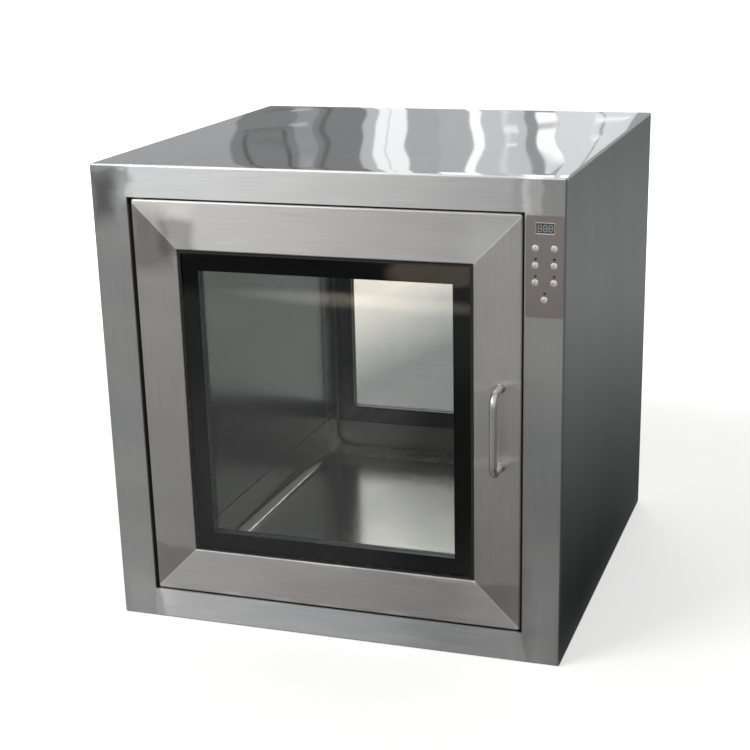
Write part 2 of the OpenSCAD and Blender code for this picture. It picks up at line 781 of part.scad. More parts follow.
// Hollow-section look: a flat foot with a domed back
module door_seal() color([0.12, 0.12, 0.13]) {
    bulge_r = (pow(seal_w/2, 2) + pow(seal_bulge, 2))/(2*seal_bulge);
    translate([0, mid_z, -leaf_t]) loop(chamber_w + 2*seal_out, chamber_h + 2*seal_out, cove_r + seal_out) {
        translate([0, seal_bulge - seal_t]) square([seal_w, seal_t - seal_bulge]);
        intersection() {
            translate([seal_w/2, bulge_r - seal_t]) circle(r = bulge_r);
            translate([0, -seal_t]) square([seal_w, seal_bulge]);
        }
    }
}

// Bow handle bent from round rod, its legs welded to the leaf's face
module handle() color([0.84, 0.85, 0.86]) translate([leaf_x + leaf_w/2 - handle_in, handle_z, 0]) {
    rise = handle_reach - handle_bend;
    span = handle_pitch - 2*handle_bend;
    upright(0, -span/2, handle_reach) cylinder(d = rod_d, h = span);
    for (m = [0, 1]) mirror([0, m, 0]) {
        translate([0, handle_pitch/2, 0]) cylinder(d = rod_d, h = rise);
        translate([0, span/2, rise]) rotate([0, -90, 0]) rotate_extrude(angle = 90)
            translate([handle_bend, 0]) circle(d = rod_d);
    }
}

module armature() color([0.50, 0.51, 0.52])
    translate([magnet_x, handle_z, seat_gap - reveal_d]) linear_extrude(reveal_d - leaf_t - seat_gap)
        rounded(armature_w, armature_h, 3);

module sensor_magnet() color([0.30, 0.30, 0.32])
    translate([magnet_x, sensor_z, -leaf_t]) cylinder(d = sensor_d, h = sensor_magnet_len);

// ---- Build --------------------------------------------------------------------

top_panel();
base_panel();
left_panel();
right_panel();
front_frame();
rear_frame();
front_collar();
rear_collar();
floor_pan();
ceiling_pan();
left_wall();
right_wall();
uv_lamp();
white_lamp();
lamp_holders();
lamp_ballast();
power_supply();
front_magnet();
rear_magnet();
door_sensors();
cable_gland();
panel_plate();
display();
indicator_leds();
circuit_board();
board_spacers();
pivot_brackets();
pivot_bushes();
mounting_studs();
key(0);  // key_1
key(1);  // key_2
key(2);  // key_3
key(3);  // key_4
key(4);  // key_5
key(5);  // key_6
key(6);  // key_7
at_front() leaf_frame();  // front_leaf_frame
at_front() leaf_skin();  // front_leaf_skin
at_front() outer_pane();  // front_outer_pane
at_front() inner_pane();  // front_inner_pane
at_front() pane_borders();  // front_pane_borders
at_front() pane_spacer();  // front_pane_spacer
at_front() glazing_bead();  // front_glazing_bead
at_front() door_seal();  // front_door_seal
at_front() handle();  // front_handle
at_front() armature();  // front_armature
at_front() pivot_pins();  // front_pivot_pins
at_front() sensor_magnet();  // front_sensor_magnet
at_rear() leaf_frame();  // rear_leaf_frame
at_rear() leaf_skin();  // rear_leaf_skin
at_rear() outer_pane();  // rear_outer_pane
at_rear() inner_pane();  // rear_inner_pane
at_rear() pane_borders();  // rear_pane_borders
at_rear() pane_spacer();  // rear_pane_spacer
at_rear() glazing_bead();  // rear_glazing_bead
at_rear() door_seal();  // rear_door_seal
at_rear() handle();  // rear_handle
at_rear() armature();  // rear_armature
at_rear() pivot_pins();  // rear_pivot_pins
at_rear() sensor_magnet();  // rear_sensor_magnet
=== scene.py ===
"""Dresses a cleanroom pass box: brushed and polished steel, double glazing, key panel, lamps and seals.

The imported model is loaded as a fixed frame. Each class below finishes one sub-assembly: it gives the
carried-over nodes their materials and builds the finer pieces that ride on the same bodies.
Lengths are metres in the frame's own axes: +Z up, the front facing -Y, the origin under the base.
"""

from __future__ import annotations

import json
import logging
import math
import random
from dataclasses import dataclass
from enum import Enum
from typing import Iterable, Sequence

import bmesh
import bpy
from mathutils import Matrix, Vector

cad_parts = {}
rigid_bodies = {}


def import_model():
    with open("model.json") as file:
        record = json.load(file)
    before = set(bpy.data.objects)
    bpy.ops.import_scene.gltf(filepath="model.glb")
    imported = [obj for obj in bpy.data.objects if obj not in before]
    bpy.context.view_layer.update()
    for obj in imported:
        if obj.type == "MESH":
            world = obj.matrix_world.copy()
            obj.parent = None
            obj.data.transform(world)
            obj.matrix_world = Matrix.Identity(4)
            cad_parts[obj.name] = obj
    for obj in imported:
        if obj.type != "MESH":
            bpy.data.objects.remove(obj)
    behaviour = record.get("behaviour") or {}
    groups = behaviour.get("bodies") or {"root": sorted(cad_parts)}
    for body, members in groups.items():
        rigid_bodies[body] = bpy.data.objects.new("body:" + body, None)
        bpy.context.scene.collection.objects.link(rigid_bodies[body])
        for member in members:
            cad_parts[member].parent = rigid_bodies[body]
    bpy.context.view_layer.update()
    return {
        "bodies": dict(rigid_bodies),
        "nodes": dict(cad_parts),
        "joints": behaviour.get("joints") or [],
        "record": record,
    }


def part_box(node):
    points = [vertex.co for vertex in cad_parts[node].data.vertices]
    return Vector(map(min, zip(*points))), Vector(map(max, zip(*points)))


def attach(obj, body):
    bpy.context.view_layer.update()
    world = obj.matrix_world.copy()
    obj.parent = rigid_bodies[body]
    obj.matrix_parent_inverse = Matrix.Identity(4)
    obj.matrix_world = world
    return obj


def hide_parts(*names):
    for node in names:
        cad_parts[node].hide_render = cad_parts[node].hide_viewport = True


LOG = logging.getLogger("pass_box")
MM = 0.001

Colour = tuple[float, float, float, float]
Point = tuple[float, float, float]
Node = bpy.types.Node
Socket = bpy.types.NodeSocket
Tree = bpy.types.NodeTree
Shape = bmesh.types.BMesh

ABSOLUTE, ADD, DEGREES, LENGTH, MAXIMUM, MULTIPLY, MULTIPLY_ADD, SCALE, SUBTRACT = (
    {"operation": name}
    for name in "ABSOLUTE ADD DEGREES LENGTH MAXIMUM MULTIPLY MULTIPLY_ADD SCALE SUBTRACT".split()
)
NOISE_MIDDLE = (0.3, 0.7)
STRAYS_PER_METRE = 22.0
RGBA = {"data_type": "RGBA"}
SMOOTH = {"interpolation_type": "SMOOTHSTEP"}
WHITE = (1.0, 1.0, 1.0, 1.0)
SQUARE = ((-1, -1), (1, -1), (1, 1), (-1, 1))


# ---- Small helpers --------------------------------------------------------------------------


def linear(code: str) -> Colour:
    """Turns an sRGB hex colour into linear light.

    Args:
        code: Six hex digits after a hash sign, such as "#8a8c8b".

    Returns:
        Red, green, blue and an alpha of 1.
    """
    shares = [int(code[k : k + 2], 16) / 255 for k in (1, 3, 5)]
    lit = [s / 12.92 if s <= 0.04045 else ((s + 0.055) / 1.055) ** 2.4 for s in shares]
    return (lit[0], lit[1], lit[2], 1.0)


def add_node(
    tree: Tree,
    kind: str,
    settings: dict[str, object] | None = None,
    links: dict[str | int, object] | None = None,
) -> Node:
    """Adds a shader node.

    Args:
        tree: The node tree that gets the node.
        kind: The node's type name, without the ShaderNode that each begins with.
        settings: Attributes of the node, such as its operation.
        links: What each input takes: a node, one of a node's outputs, or a plain value.

    Returns:
        The new node.
    """
    node = tree.nodes.new(f"ShaderNode{kind}")
    for name, value in (settings or {}).items():
        setattr(node, name, value)
    for name, value in (links or {}).items():
        source = value.outputs[0] if isinstance(value, Node) else value
        if isinstance(source, Socket):
            tree.links.new(source, node.inputs[name])
        else:
            node.inputs[name].default_value = source
    return node


def over(value: object, start: float, end: float, low: float = 0.0, high: float = 1.0) -> dict[str, object]:
    """Says how a share goes from one end to the other while a value crosses a span.

    Args:
        value: What crosses the span.
        start: Where the share starts to change.
        end: Where it stops.
        low: The share up to the start.
        high: The share past the end.

    Returns:
        The links for a Map Range node.
    """
    return {"Value": value, "From Min": start, "From Max": end, "To Min": low, "To Max": high}


def distance(tree: Tree, value: object, middle: float) -> Node:
    """Returns how far a value lies from a middle, to either side."""
    off = add_node(tree, "Math", SUBTRACT, {0: value, 1: middle})
    return add_node(tree, "Math", ABSOLUTE, {0: off})


# ---- Finishes -------------------------------------------------------------------------------


@dataclass(frozen=True)
class Finish:
    """What every finish has.

    Attributes:
        name: The real material and how its surface was made.
        tone: Its colour as sRGB hex.
        rough: Its roughness.
    """

    name: str
    tone: str
    rough: float

    def material(self) -> bpy.types.Material:
        """Returns the finish's material, which is made once."""
        made = bpy.data.materials.get(self.name)
        if made is None:
            made = bpy.data.materials.new(self.name)
            made.use_nodes = True
            made.node_tree.nodes.clear()
            surface = self.shade(made.node_tree)
            add_node(made.node_tree, "OutputMaterial", links={"Surface": surface})
        return made

    def shade(self, tree: Tree) -> Node:
        """Returns the surface shader; each kind of finish has its own."""
        raise NotImplementedError

    def place(self, tree: Tree) -> Socket:
        """Returns the place on the piece, in metres, which moves with the piece."""
        return add_node(tree, "TexCoord").outputs["Object"]

    def speckle(self, tree: Tree, place: Socket, size_mm: Point, detail: float = 3.0) -> Node:
        """Adds a noise pattern whose features have a real size.

        Args:
            tree: The material's nodes.
            place: Where on the piece, in metres.
            size_mm: The size of a feature along x, y and z.
            detail: How many finer layers the noise has.

        Returns:
            A node that gives a value from 0 to 1.
        """
        per_metre = [1 / (size * MM) for size in size_mm]
        scaled = add_node(tree, "VectorMath", MULTIPLY, {0: place, 1: per_metre})
        links = {"Vector": scaled, "Scale": 1.0, "Detail": detail}
        return add_node(tree, "TexNoise", {"normalize": True}, links)

    def spread(self, tree: Tree, value: object, low: float, high: float) -> Node:
        """Stretches the useful middle of a noise pattern over a range.

        Args:
            tree: The material's nodes.
            value: The noise pattern.
            low: What its low parts become.
            high: What its high parts become.

        Returns:
            A node that gives the stretched pattern.
        """
        return add_node(tree, "MapRange", links=over(value, *NOISE_MIDDLE, low, high))

    def bumped(self, tree: Tree, height: object, depth_mm: float, under: object = None) -> Node:
        """Turns a pattern into relief of a real depth.

        Args:
            tree: The material's nodes.
            height: The pattern.
            depth_mm: How deep the relief is.
            under: Any relief that it lies on.

        Returns:
            A node that gives the bent normal.
        """
        links = {"Height": height, "Distance": depth_mm * MM, "Strength": 1.0}
        if under is not None:
            links["Normal"] = under
        return add_node(tree, "Bump", links=links)

    def tinted(self, tree: Tree, share: object) -> Node:
        """Returns the finish's colour times a share."""
        return add_node(tree, "VectorMath", SCALE, {0: linear(self.tone)[:3], "Scale": share})

    def drifting(self, tree: Tree, share: object, other: str) -> Socket:
        """Returns the finish's colour, going over to another one with a share."""
        return add_node(tree, "Mix", RGBA, {0: share, 6: linear(self.tone), 7: linear(other)}).outputs[2]


class Grain(Enum):
    """The way that brush marks run."""

    LEVEL = 0
    DEEP = 1
    UPRIGHT = 2

    def stretch(self, along_mm: float, across_mm: float) -> Point:
        """Returns the size of one brush mark along x, y and z."""
        sizes = [across_mm] * 3
        sizes[self.value] = along_mm
        return (sizes[0], sizes[1], sizes[2])

    def across(self) -> Point:
        """Returns the direction across the marks, which is the way that they spread a highlight."""
        sides = [math.sqrt(0.5)] * 3
        sides[self.value] = 0.0
        return (sides[0], sides[1], sides[2])


@dataclass(frozen=True)
class LightAndGrindPatch:
    """A patch of painted light on a sheet: a painted highlight where lighter, painted shade where darker.

    Attributes:
        x: Middle of the patch across the face, in millimetres.
        z: Middle of the patch above the base, in millimetres.
        wide: Half its width in millimetres.
        high: Half its height in millimetres.
        blur: How softly its edge fades, as a share of the half size.
        tone: What the sheet's colour is multiplied by in the patch.
    """

    x: float
    z: float
    wide: float
    high: float
    blur: float
    tone: float


@dataclass(frozen=True)
class BrushedSteel(Finish):
    """Stainless steel sheet, belt-brushed: long fine lines that spread a highlight across them.

    Attributes:
        grain: The way the brush marks run.
        second_tone: The colour that broad clouds of the sheet drift to.
        line_mm: Width of a brush mark. Real ones are about 0.1 mm, and are drawn as wide as shows.
        run_mm: Length of a brush mark.
        contrast: How far the marks change the colour.
        relief_mm: Depth of the marks.
        stretch: How much longer a highlight is across the marks than along them, from 0 to 1.
        marks: Patches of painted light and shade; small ones also stand for ground clouds.
        stray_mm: How far the patches' edges stray.
        wave_mm: Depth of the sheet's own broad waves.
        gap_mm: How far from the middle the sides of the door gap start and end, front to back.
        gap_tone: What the sheet's colour is multiplied by there. It stands in for shade in the gap.
        seam_lift: How much lighter a dressed weld is, as a share.
        seam_rise: How far it stands up, as a share of the marks' depth.
    """

    grain: Grain = Grain.LEVEL
    second_tone: str = ""
    line_mm: float = 1.1
    run_mm: float = 70.0
    contrast: float = 0.06
    relief_mm: float = 0.008
    stretch: float = 0.86
    marks: tuple[LightAndGrindPatch, ...] = ()
    stray_mm: float = 30.0
    wave_mm: float = 0.02
    gap_mm: tuple[float, float] = (272.0, 292.5)
    gap_tone: float = 1.0
    seam_lift: float = 0.32
    seam_rise: float = 1.5

    def upright_share(self, tree: Tree, place: Socket) -> Node | None:
        """Returns where the grain stands upright instead, from 0 to 1. Plain sheet has one grain."""
        return None

    def seam(self, tree: Tree, place: Socket) -> Node | None:
        """Returns where a dressed weld line runs, from 0 to 1. Plain sheet has none."""
        return None

    def polished(self, tree: Tree, place: Socket, tone: object) -> object:
        """Multiplies a tone by each patch of painted light at the place, and by the door gap's painted shade.

        Args:
            tree: The material's nodes.
            place: Where on the piece, in metres.
            tone: The tone so far.

        Returns:
            The tone with its painted light and the gap's painted shade.
        """
        noise = {"Vector": place, "Scale": STRAYS_PER_METRE, "Detail": 2.0}
        wobble = add_node(tree, "TexNoise", links=noise).outputs["Color"]
        centred = add_node(tree, "VectorMath", SUBTRACT, {0: wobble, 1: (0.5,) * 3})
        reach = (self.stray_mm * MM,) * 3
        strayed = add_node(tree, "VectorMath", MULTIPLY_ADD, {0: centred, 1: reach, 2: place})
        # Painted light: each patch lifts or lowers the sheet's colour, as a painted highlight or painted
        # shade.
        for mark in self.marks:
            middle = (mark.x * MM, 0.0, mark.z * MM)
            reach = (1 / (mark.wide * MM), 0.0, 1 / (mark.high * MM))
            off = add_node(tree, "VectorMath", SUBTRACT, {0: strayed, 1: middle})
            share = add_node(tree, "VectorMath", MULTIPLY, {0: off, 1: reach})
            size = add_node(tree, "VectorMath", ABSOLUTE, {0: share})
            axes = add_node(tree, "SeparateXYZ", links={0: size})
            far = add_node(tree, "Math", MAXIMUM, {0: axes.outputs[0], 1: axes.outputs[2]})
            lift = add_node(tree, "MapRange", SMOOTH, over(far, 1 - mark.blur, 1 + mark.blur, mark.tone))
            tone = add_node(tree, "Math", MULTIPLY, {0: tone, 1: lift})
        if self.gap_tone < 1.0:
            near, far = self.gap_mm
            half = (far - near) / 2 * MM
            depth = add_node(tree, "SeparateXYZ", links={0: place}).outputs[1]
            size = distance(tree, add_node(tree, "Math", ABSOLUTE, {0: depth}), (near + far) / 2 * MM)
            shadow = add_node(tree, "MapRange", links=over(size, half - 1.0 * MM, half, self.gap_tone))
            tone = add_node(tree, "Math", MULTIPLY, {0: tone, 1: shadow})
        return tone

    def shade(self, tree: Tree) -> Node:
        """Returns brushed metal with its grain, clouds, patches of painted light and waves."""
        place = self.place(tree)
        lines = self.speckle(tree, place, self.grain.stretch(self.run_mm, self.line_mm))
        across: object = self.grain.across()
        upright = self.upright_share(tree, place)
        if upright is not None:
            stiles = self.speckle(tree, place, Grain.UPRIGHT.stretch(self.run_mm, self.line_mm))
            lines = add_node(tree, "Mix", links={0: upright, 2: lines, 3: stiles})
            ways = {0: upright, 4: Grain.LEVEL.across(), 5: Grain.UPRIGHT.across()}
            across = add_node(tree, "Mix", {"data_type": "VECTOR"}, ways).outputs[1]
        line_tone = self.spread(tree, lines, 1 - self.contrast, 1 + self.contrast)
        cloud = self.speckle(tree, place, self.grain.stretch(320.0, 90.0), 2.0)
        drift = self.spread(tree, cloud, 0.0, 1.0)
        tone = self.polished(tree, place, line_tone)
        line = self.seam(tree, place)
        height = lines
        if line is not None:
            lifted = add_node(tree, "Math", MULTIPLY_ADD, {0: line, 1: self.seam_lift, 2: 1.0})
            tone = add_node(tree, "Math", MULTIPLY, {0: tone, 1: lifted})
            height = add_node(tree, "Math", MULTIPLY_ADD, {0: line, 1: self.seam_rise, 2: lines})
        sheet = self.drifting(tree, drift, self.second_tone or self.tone)
        colour = add_node(tree, "VectorMath", SCALE, {0: sheet, "Scale": tone})
        waves = self.bumped(tree, self.speckle(tree, place, (140.0, 140.0, 140.0), 1.0), self.wave_mm)
        to_world = {"vector_type": "VECTOR", "convert_from": "OBJECT", "convert_to": "WORLD"}
        links = {
            "Base Color": colour,
            "Metallic": 1.0,
            "Roughness": self.spread(tree, lines, self.rough - 0.04, self.rough + 0.05),
            "Anisotropic": self.stretch,
            "Tangent": add_node(tree, "VectorTransform", to_world, {0: across}),
            "Normal": self.bumped(tree, height, self.relief_mm, waves),
        }
        return add_node(tree, "BsdfPrincipled", links=links)


@dataclass(frozen=True)
class ButtedSteel(BrushedSteel):
    """A brushed frame whose level members butt between full-height stiles.

    Attributes:
        opening_mm: Half the width between the stiles.
        middle_mm: Height of the opening's middle above the base.
        reach_mm: Half the height between the level members.
        fold_mm: How far from the middle the frame is folded back round its corners.
        fold_tone: What the colour is multiplied by on the fold: painted shade, a dark line along the corner.
        fold_edge_mm: How far before the fold that line starts, and where it is full.
        weld_mm: How far the blended weld reaches to each side of the joint.
    """

    opening_mm: float = 252.0
    middle_mm: float = 304.0
    reach_mm: float = 264.0
    fold_mm: float = 300.0
    fold_tone: float = 0.5
    fold_edge_mm: tuple[float, float] = (2.4, 1.2)
    weld_mm: tuple[float, float] = (14.0, 16.0)

    def polished(self, tree: Tree, place: Socket, tone: object) -> object:
        """Paints shade on the fold, then multiplies by the patches of painted light as for any sheet.

        Args:
            tree: The material's nodes.
            place: Where on the piece, in metres.
            tone: The tone so far.

        Returns:
            The tone with its painted shade on the fold, its painted light and the gap's painted shade.
        """
        axes = add_node(tree, "SeparateXYZ", links={0: place})
        side = add_node(tree, "Math", ABSOLUTE, {0: axes.outputs[0]})
        start, full = ((self.fold_mm - edge) * MM for edge in self.fold_edge_mm)
        # Painted shade: the frame darkens on its fold round the corners.
        painted_fold_shade = add_node(tree, "MapRange", links=over(side, start, full, 1.0, self.fold_tone))
        return super().polished(tree, place, add_node(tree, "Math", MULTIPLY, {0: tone, 1: painted_fold_shade}))

    def upright_share(self, tree: Tree, place: Socket) -> Node:
        """Finds the stiles, with a blended weld where a level member meets one.

        Args:
            tree: The material's nodes.
            place: Where on the piece, in metres.

        Returns:
            A node that gives 1 on the stiles and 0 on the level members.
        """
        axes = add_node(tree, "SeparateXYZ", links={0: place})
        side = add_node(tree, "Math", ABSOLUTE, {0: axes.outputs[0]})
        stray = self.speckle(tree, place, (45.0, 45.0, 45.0))
        ragged = add_node(tree, "Math", MULTIPLY_ADD, {0: stray, 1: 0.05, 2: side})
        edge = self.opening_mm * MM + 0.025
        weld = over(ragged, edge - self.weld_mm[0] * MM, edge + self.weld_mm[1] * MM)
        stile = add_node(tree, "MapRange", SMOOTH, weld)
        height = distance(tree, axes.outputs[2], self.middle_mm * MM)
        beside = over(height, (self.reach_mm - 12) * MM, self.reach_mm * MM, 1.0, 0.0)
        past = add_node(tree, "MapRange", links=beside)
        return add_node(tree, "Math", MAXIMUM, {0: stile, 1: past})


@dataclass(frozen=True)
class MitredSteel(BrushedSteel):
    """A brushed frame whose members meet at 45 degrees in dressed welds.

    Attributes:
        middle: Middle of the frame across and above the base, in metres.
        pocket: Half the width and half the height of its opening, in metres.
    """

    middle: tuple[float, float] = (0.0, 0.3)
    pocket: tuple[float, float] = (0.19, 0.2)

    def past_mitre(self, tree: Tree, place: Socket) -> Node:
        """Measures how far a place lies past the mitre line.

        Args:
            tree: The material's nodes.
            place: Where on the piece, in metres.

        Returns:
            A node that gives the distance towards the stiles, in metres.
        """
        middle = (self.middle[0], 0.0, self.middle[1])
        off = add_node(tree, "VectorMath", SUBTRACT, {0: place, 1: middle})
        size = add_node(tree, "VectorMath", ABSOLUTE, {0: off})
        axes = add_node(tree, "SeparateXYZ", links={0: size})
        gap = add_node(tree, "Math", SUBTRACT, {0: axes.outputs[0], 1: axes.outputs[2]})
        return add_node(tree, "Math", SUBTRACT, {0: gap, 1: self.pocket[0] - self.pocket[1]})

    def upright_share(self, tree: Tree, place: Socket) -> Node:
        """Returns 1 on the stiles and 0 on the level members."""
        return add_node(tree, "MapRange", links=over(self.past_mitre(tree, place), -0.4 * MM, 0.4 * MM))

    def seam(self, tree: Tree, place: Socket) -> Node:
        """Returns the dressed weld along each mitre, about 2 mm wide."""
        past = add_node(tree, "Math", ABSOLUTE, {0: self.past_mitre(tree, place)})
        return add_node(tree, "MapRange", SMOOTH, over(past, 0.6 * MM, 2.0 * MM, 1.0, 0.0))


@dataclass(frozen=True)
class PolishedMetal(Finish):
    """Metal polished until it mirrors: soft dents bend what it reflects, and fine swirls dull it a little.

    Attributes:
        dent_mm: Size of the soft dents.
        dent_depth_mm: Depth of the soft dents.
        swirl_mm: Size of the polishing swirls along x, y and z.
        folds_mm: How far from the middle the sheet's edges are folded down, along x and y.
        fold_reach_mm: How far in from a fold the sheet falls away.
        fold_drop_mm: How far it falls there.
    """

    dent_mm: float = 120.0
    dent_depth_mm: float = 0.0
    swirl_mm: Point = (3.0, 60.0, 3.0)
    folds_mm: tuple[float, ...] = ()
    fold_reach_mm: float = 26.0
    fold_drop_mm: float = 0.7

    def shade(self, tree: Tree) -> Node:
        """Returns bright metal with dents and swirls."""
        place = self.place(tree)
        swirl = self.speckle(tree, place, self.swirl_mm)
        dents = self.speckle(tree, place, (self.dent_mm, self.dent_mm * 2.0, self.dent_mm), 0.0)
        relief = self.bumped(tree, dents, self.dent_depth_mm)
        axes = add_node(tree, "SeparateXYZ", links={0: place})
        for number, fold in enumerate(self.folds_mm):
            away = add_node(tree, "Math", ABSOLUTE, {0: axes.outputs[number]})
            near = over(away, (fold - self.fold_reach_mm) * MM, fold * MM)
            nearing = add_node(tree, "MapRange", links=near)
            uneven = add_node(tree, "Math", ADD, {0: dents, 1: 1.3})
            fall = add_node(tree, "Math", {"operation": "POWER"}, {0: nearing, 1: uneven})
            level = add_node(tree, "Math", SUBTRACT, {0: 1.0, 1: fall})
            relief = self.bumped(tree, level, self.fold_drop_mm, relief)
        relief = self.bumped(tree, swirl, 0.002, relief)
        shade = self.spread(tree, swirl, 0.95, 1.03)
        colour = self.tinted(tree, shade)
        links = {
            "Base Color": colour,
            "Metallic": 1.0,
            "Roughness": self.spread(tree, swirl, self.rough * 0.8, self.rough * 1.3),
            "Normal": relief,
        }
        return add_node(tree, "BsdfPrincipled", links=links)


@dataclass(frozen=True)
class PlainMetal(Finish):
    """Cast, turned or plated metal: an even colour with a fine mottle.

    Attributes:
        mottle_mm: Size of the mottle.
        second_tone: The colour of its darker parts.
    """

    mottle_mm: float = 4.0
    second_tone: str = "#6a6c6d"

    def shade(self, tree: Tree) -> Node:
        """Returns satin metal with a mottle."""
        place = self.place(tree)
        mottle = self.speckle(tree, place, (self.mottle_mm,) * 3)
        share = self.spread(tree, mottle, 0.0, 1.0)
        colour = self.drifting(tree, share, self.second_tone)
        links = {
            "Base Color": colour,
            "Metallic": 1.0,
            "Roughness": self.spread(tree, mottle, self.rough, self.rough + 0.12),
            "Normal": self.bumped(tree, mottle, 0.01),
        }
        return add_node(tree, "BsdfPrincipled", links=links)


@dataclass(frozen=True)
class MouldedPlastic(Finish):
    """Moulded plastic, rubber, resin or paint: a fine tooth in the surface and faint mottling.

    Attributes:
        tooth_mm: Size of the surface's tooth.
        depth_mm: Depth of the tooth.
        coat: Weight of a clear gloss over it.
        ior: Its index of refraction.
    """

    tooth_mm: float = 0.8
    depth_mm: float = 0.01
    coat: float = 0.0
    ior: float = 1.5

    def shade(self, tree: Tree) -> Node:
        """Returns a dielectric with a toothed surface."""
        place = self.place(tree)
        tooth = self.speckle(tree, place, (self.tooth_mm,) * 3)
        broad = self.speckle(tree, place, (self.tooth_mm * 18,) * 3, 2.0)
        shade = self.spread(tree, broad, 0.88, 1.10)
        colour = self.tinted(tree, shade)
        links = {
            "Base Color": colour,
            "Roughness": self.spread(tree, tooth, self.rough - 0.03, self.rough + 0.06),
            "IOR": self.ior,
            "Coat Weight": self.coat,
            "Coat Roughness": 0.08,
            "Normal": self.bumped(tree, tooth, self.depth_mm),
        }
        return add_node(tree, "BsdfPrincipled", links=links)


@dataclass(frozen=True)
class FloatGlass(Finish):
    """Toughened float glass: clear, faintly grey-green, with a trace of roller wave and wiping film."""

    def shade(self, tree: Tree) -> Node:
        """Returns glass that lets the light of lamps straight through."""
        place = self.place(tree)
        film = self.spread(tree, self.speckle(tree, place, (60.0, 60.0, 25.0)), 0.97, 1.0)
        tint = self.tinted(tree, film)
        wave = self.bumped(tree, self.speckle(tree, place, (220.0, 220.0, 160.0), 0.0), 0.004)
        links = {
            "Base Color": tint,
            "Roughness": self.rough,
            "IOR": 1.52,
            "Transmission Weight": 1.0,
            "Normal": wave,
        }
        glass = add_node(tree, "BsdfPrincipled", links=links)
        clear = add_node(tree, "BsdfTransparent", links={"Color": linear(self.tone)})
        path = add_node(tree, "LightPath")
        lamp = {0: path.outputs["Is Shadow Ray"], 1: path.outputs["Is Diffuse Ray"]}
        soft = add_node(tree, "Math", MAXIMUM, lamp)
        bounced = {0: soft, 1: path.outputs["Is Reflection Ray"]}
        straight = add_node(tree, "Math", MAXIMUM, bounced)
        return add_node(tree, "MixShader", links={0: straight, 1: glass, 2: clear})


@dataclass(frozen=True)
class CoatedTube(Finish):
    """A lamp tube: glass with a pale phosphor powder inside, glossy outside and milky within."""

    def shade(self, tree: Tree) -> Node:
        """Returns a milky body under clear glass."""
        powder = self.speckle(tree, self.place(tree), (6.0, 30.0, 6.0))
        shade = self.spread(tree, powder, 0.94, 1.03)
        colour = self.tinted(tree, shade)
        links = {"Base Color": colour, "Roughness": 0.5, "Coat Weight": 1.0, "Coat Roughness": self.rough}
        return add_node(tree, "BsdfPrincipled", links=links)


# ---- Building pieces ------------------------------------------------------------------------


class Side(Enum):
    """The two faces of the casing. The rear is the front turned half a turn about the upright axis."""

    FRONT = "front"
    REAR = "rear"

    @property
    def turn(self) -> float:
        """Returns 1 at the front and -1 at the rear."""
        return 1.0 if self is Side.FRONT else -1.0

    @property
    def door(self) -> str:
        """Returns the name of the side's moving body."""
        return f"{self.value}_door"

    def node(self, part: str) -> str:
        """Returns the full name of one of the side's parts."""
        return f"{self.value}_{part}"


@dataclass(frozen=True)
class Face:
    """Coordinates on one face of the casing: across to the right, up from the base, out of the face.

    Attributes:
        side: Which face it is.
        depth: Distance from the middle of the casing to the face, in metres.
    """

    side: Side
    depth: float

    def at(self, across: float, up: float, out: float) -> Vector:
        """Returns a place on the face as a point of the frame, all in metres."""
        turn = self.side.turn
        return Vector((turn * across, -turn * (self.depth + out), up))

    def across(self, point: Vector) -> float:
        """Returns how far a point of the frame lies to the right on this face."""
        return self.side.turn * point.x


def dress(frame: dict, finishes: dict[str, Finish]) -> None:
    """Gives carried-over nodes their finishes.

    Args:
        frame: The loaded frame.
        finishes: The finish of each node.
    """
    for node, finish in finishes.items():
        mesh = frame["nodes"][node].data
        mesh.materials.clear()
        mesh.materials.append(finish.material())
        LOG.info("%s: %s", node, finish.name)


def make_piece(
    name: str,
    shape: Shape,
    finish: Finish,
    body: str,
    stands_for: Iterable[str] = (),
    crease: float = 40.0,
) -> bpy.types.Object:
    """Turns a shape into a piece that rides on a body.

    Args:
        name: The piece's name.
        shape: Its mesh, in the frame's coordinates. It is freed.
        finish: Its finish.
        body: The body it moves with.
        stands_for: The nodes that it is shown in place of.
        crease: The angle in degrees above which an edge stays sharp.

    Returns:
        The new object.
    """
    bmesh.ops.remove_doubles(shape, verts=shape.verts, dist=1e-7)
    bmesh.ops.recalc_face_normals(shape, faces=shape.faces)
    mesh = bpy.data.meshes.new(name)
    shape.to_mesh(mesh)
    shape.free()
    mesh.shade_smooth()
    mesh.set_sharp_from_angle(angle=math.radians(crease))
    mesh.materials.append(finish.material())
    made = bpy.data.objects.new(name, mesh)
    bpy.context.scene.collection.objects.link(made)
    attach(made, body)
    if stands_for:
        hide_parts(*stands_for)
    LOG.info("%s rides on %s: %d faces, %s", name, body, len(mesh.polygons), finish.name)
    return made


def add_strip(shape: Shape, rings: Sequence[Sequence[Vector]], closed: bool) -> None:
    """Joins rings of points into a skin.

    Args:
        shape: The mesh that gets the skin.
        rings: The rings, each with the same number of points.
        closed: True if the last ring joins the first; otherwise both ends are capped.
    """
    verts = [[shape.verts.new(point) for point in ring] for ring in rings]
    pairs = list(zip(verts, verts[1:])) + ([(verts[-1], verts[0])] if closed else [])
    for near, far in pairs:
        for k in range(len(near)):
            follow = (k + 1) % len(near)
            shape.faces.new((near[k], near[follow], far[follow], far[k]))
    if not closed:
        shape.faces.new(verts[0])
        shape.faces.new(verts[-1])


def add_turned(
    shape: Shape,
    profile: Sequence[tuple[float, float]],
    foot: Vector,
    axis: Vector,
    steps: int = 32,
) -> None:
    """Adds a turned solid.

    Args:
        shape: The mesh that gets the solid.
        profile: (radius, height) points up the outside, in metres. Ends off the axis are capped flat.
        foot: Where height 0 lies.
        axis: The way that height runs.
        steps: Facets round the solid.
    """
    side = axis.orthogonal().normalized()
    other = axis.normalized().cross(side)
    rings = []
    for radius, height in profile:
        middle = foot + axis.normalized() * height
        turns = (2 * math.pi * k / steps for k in range(steps))
        rings.append([middle + (side * math.cos(a) + other * math.sin(a)) * radius for a in turns])
    add_strip(shape, rings, closed=False)


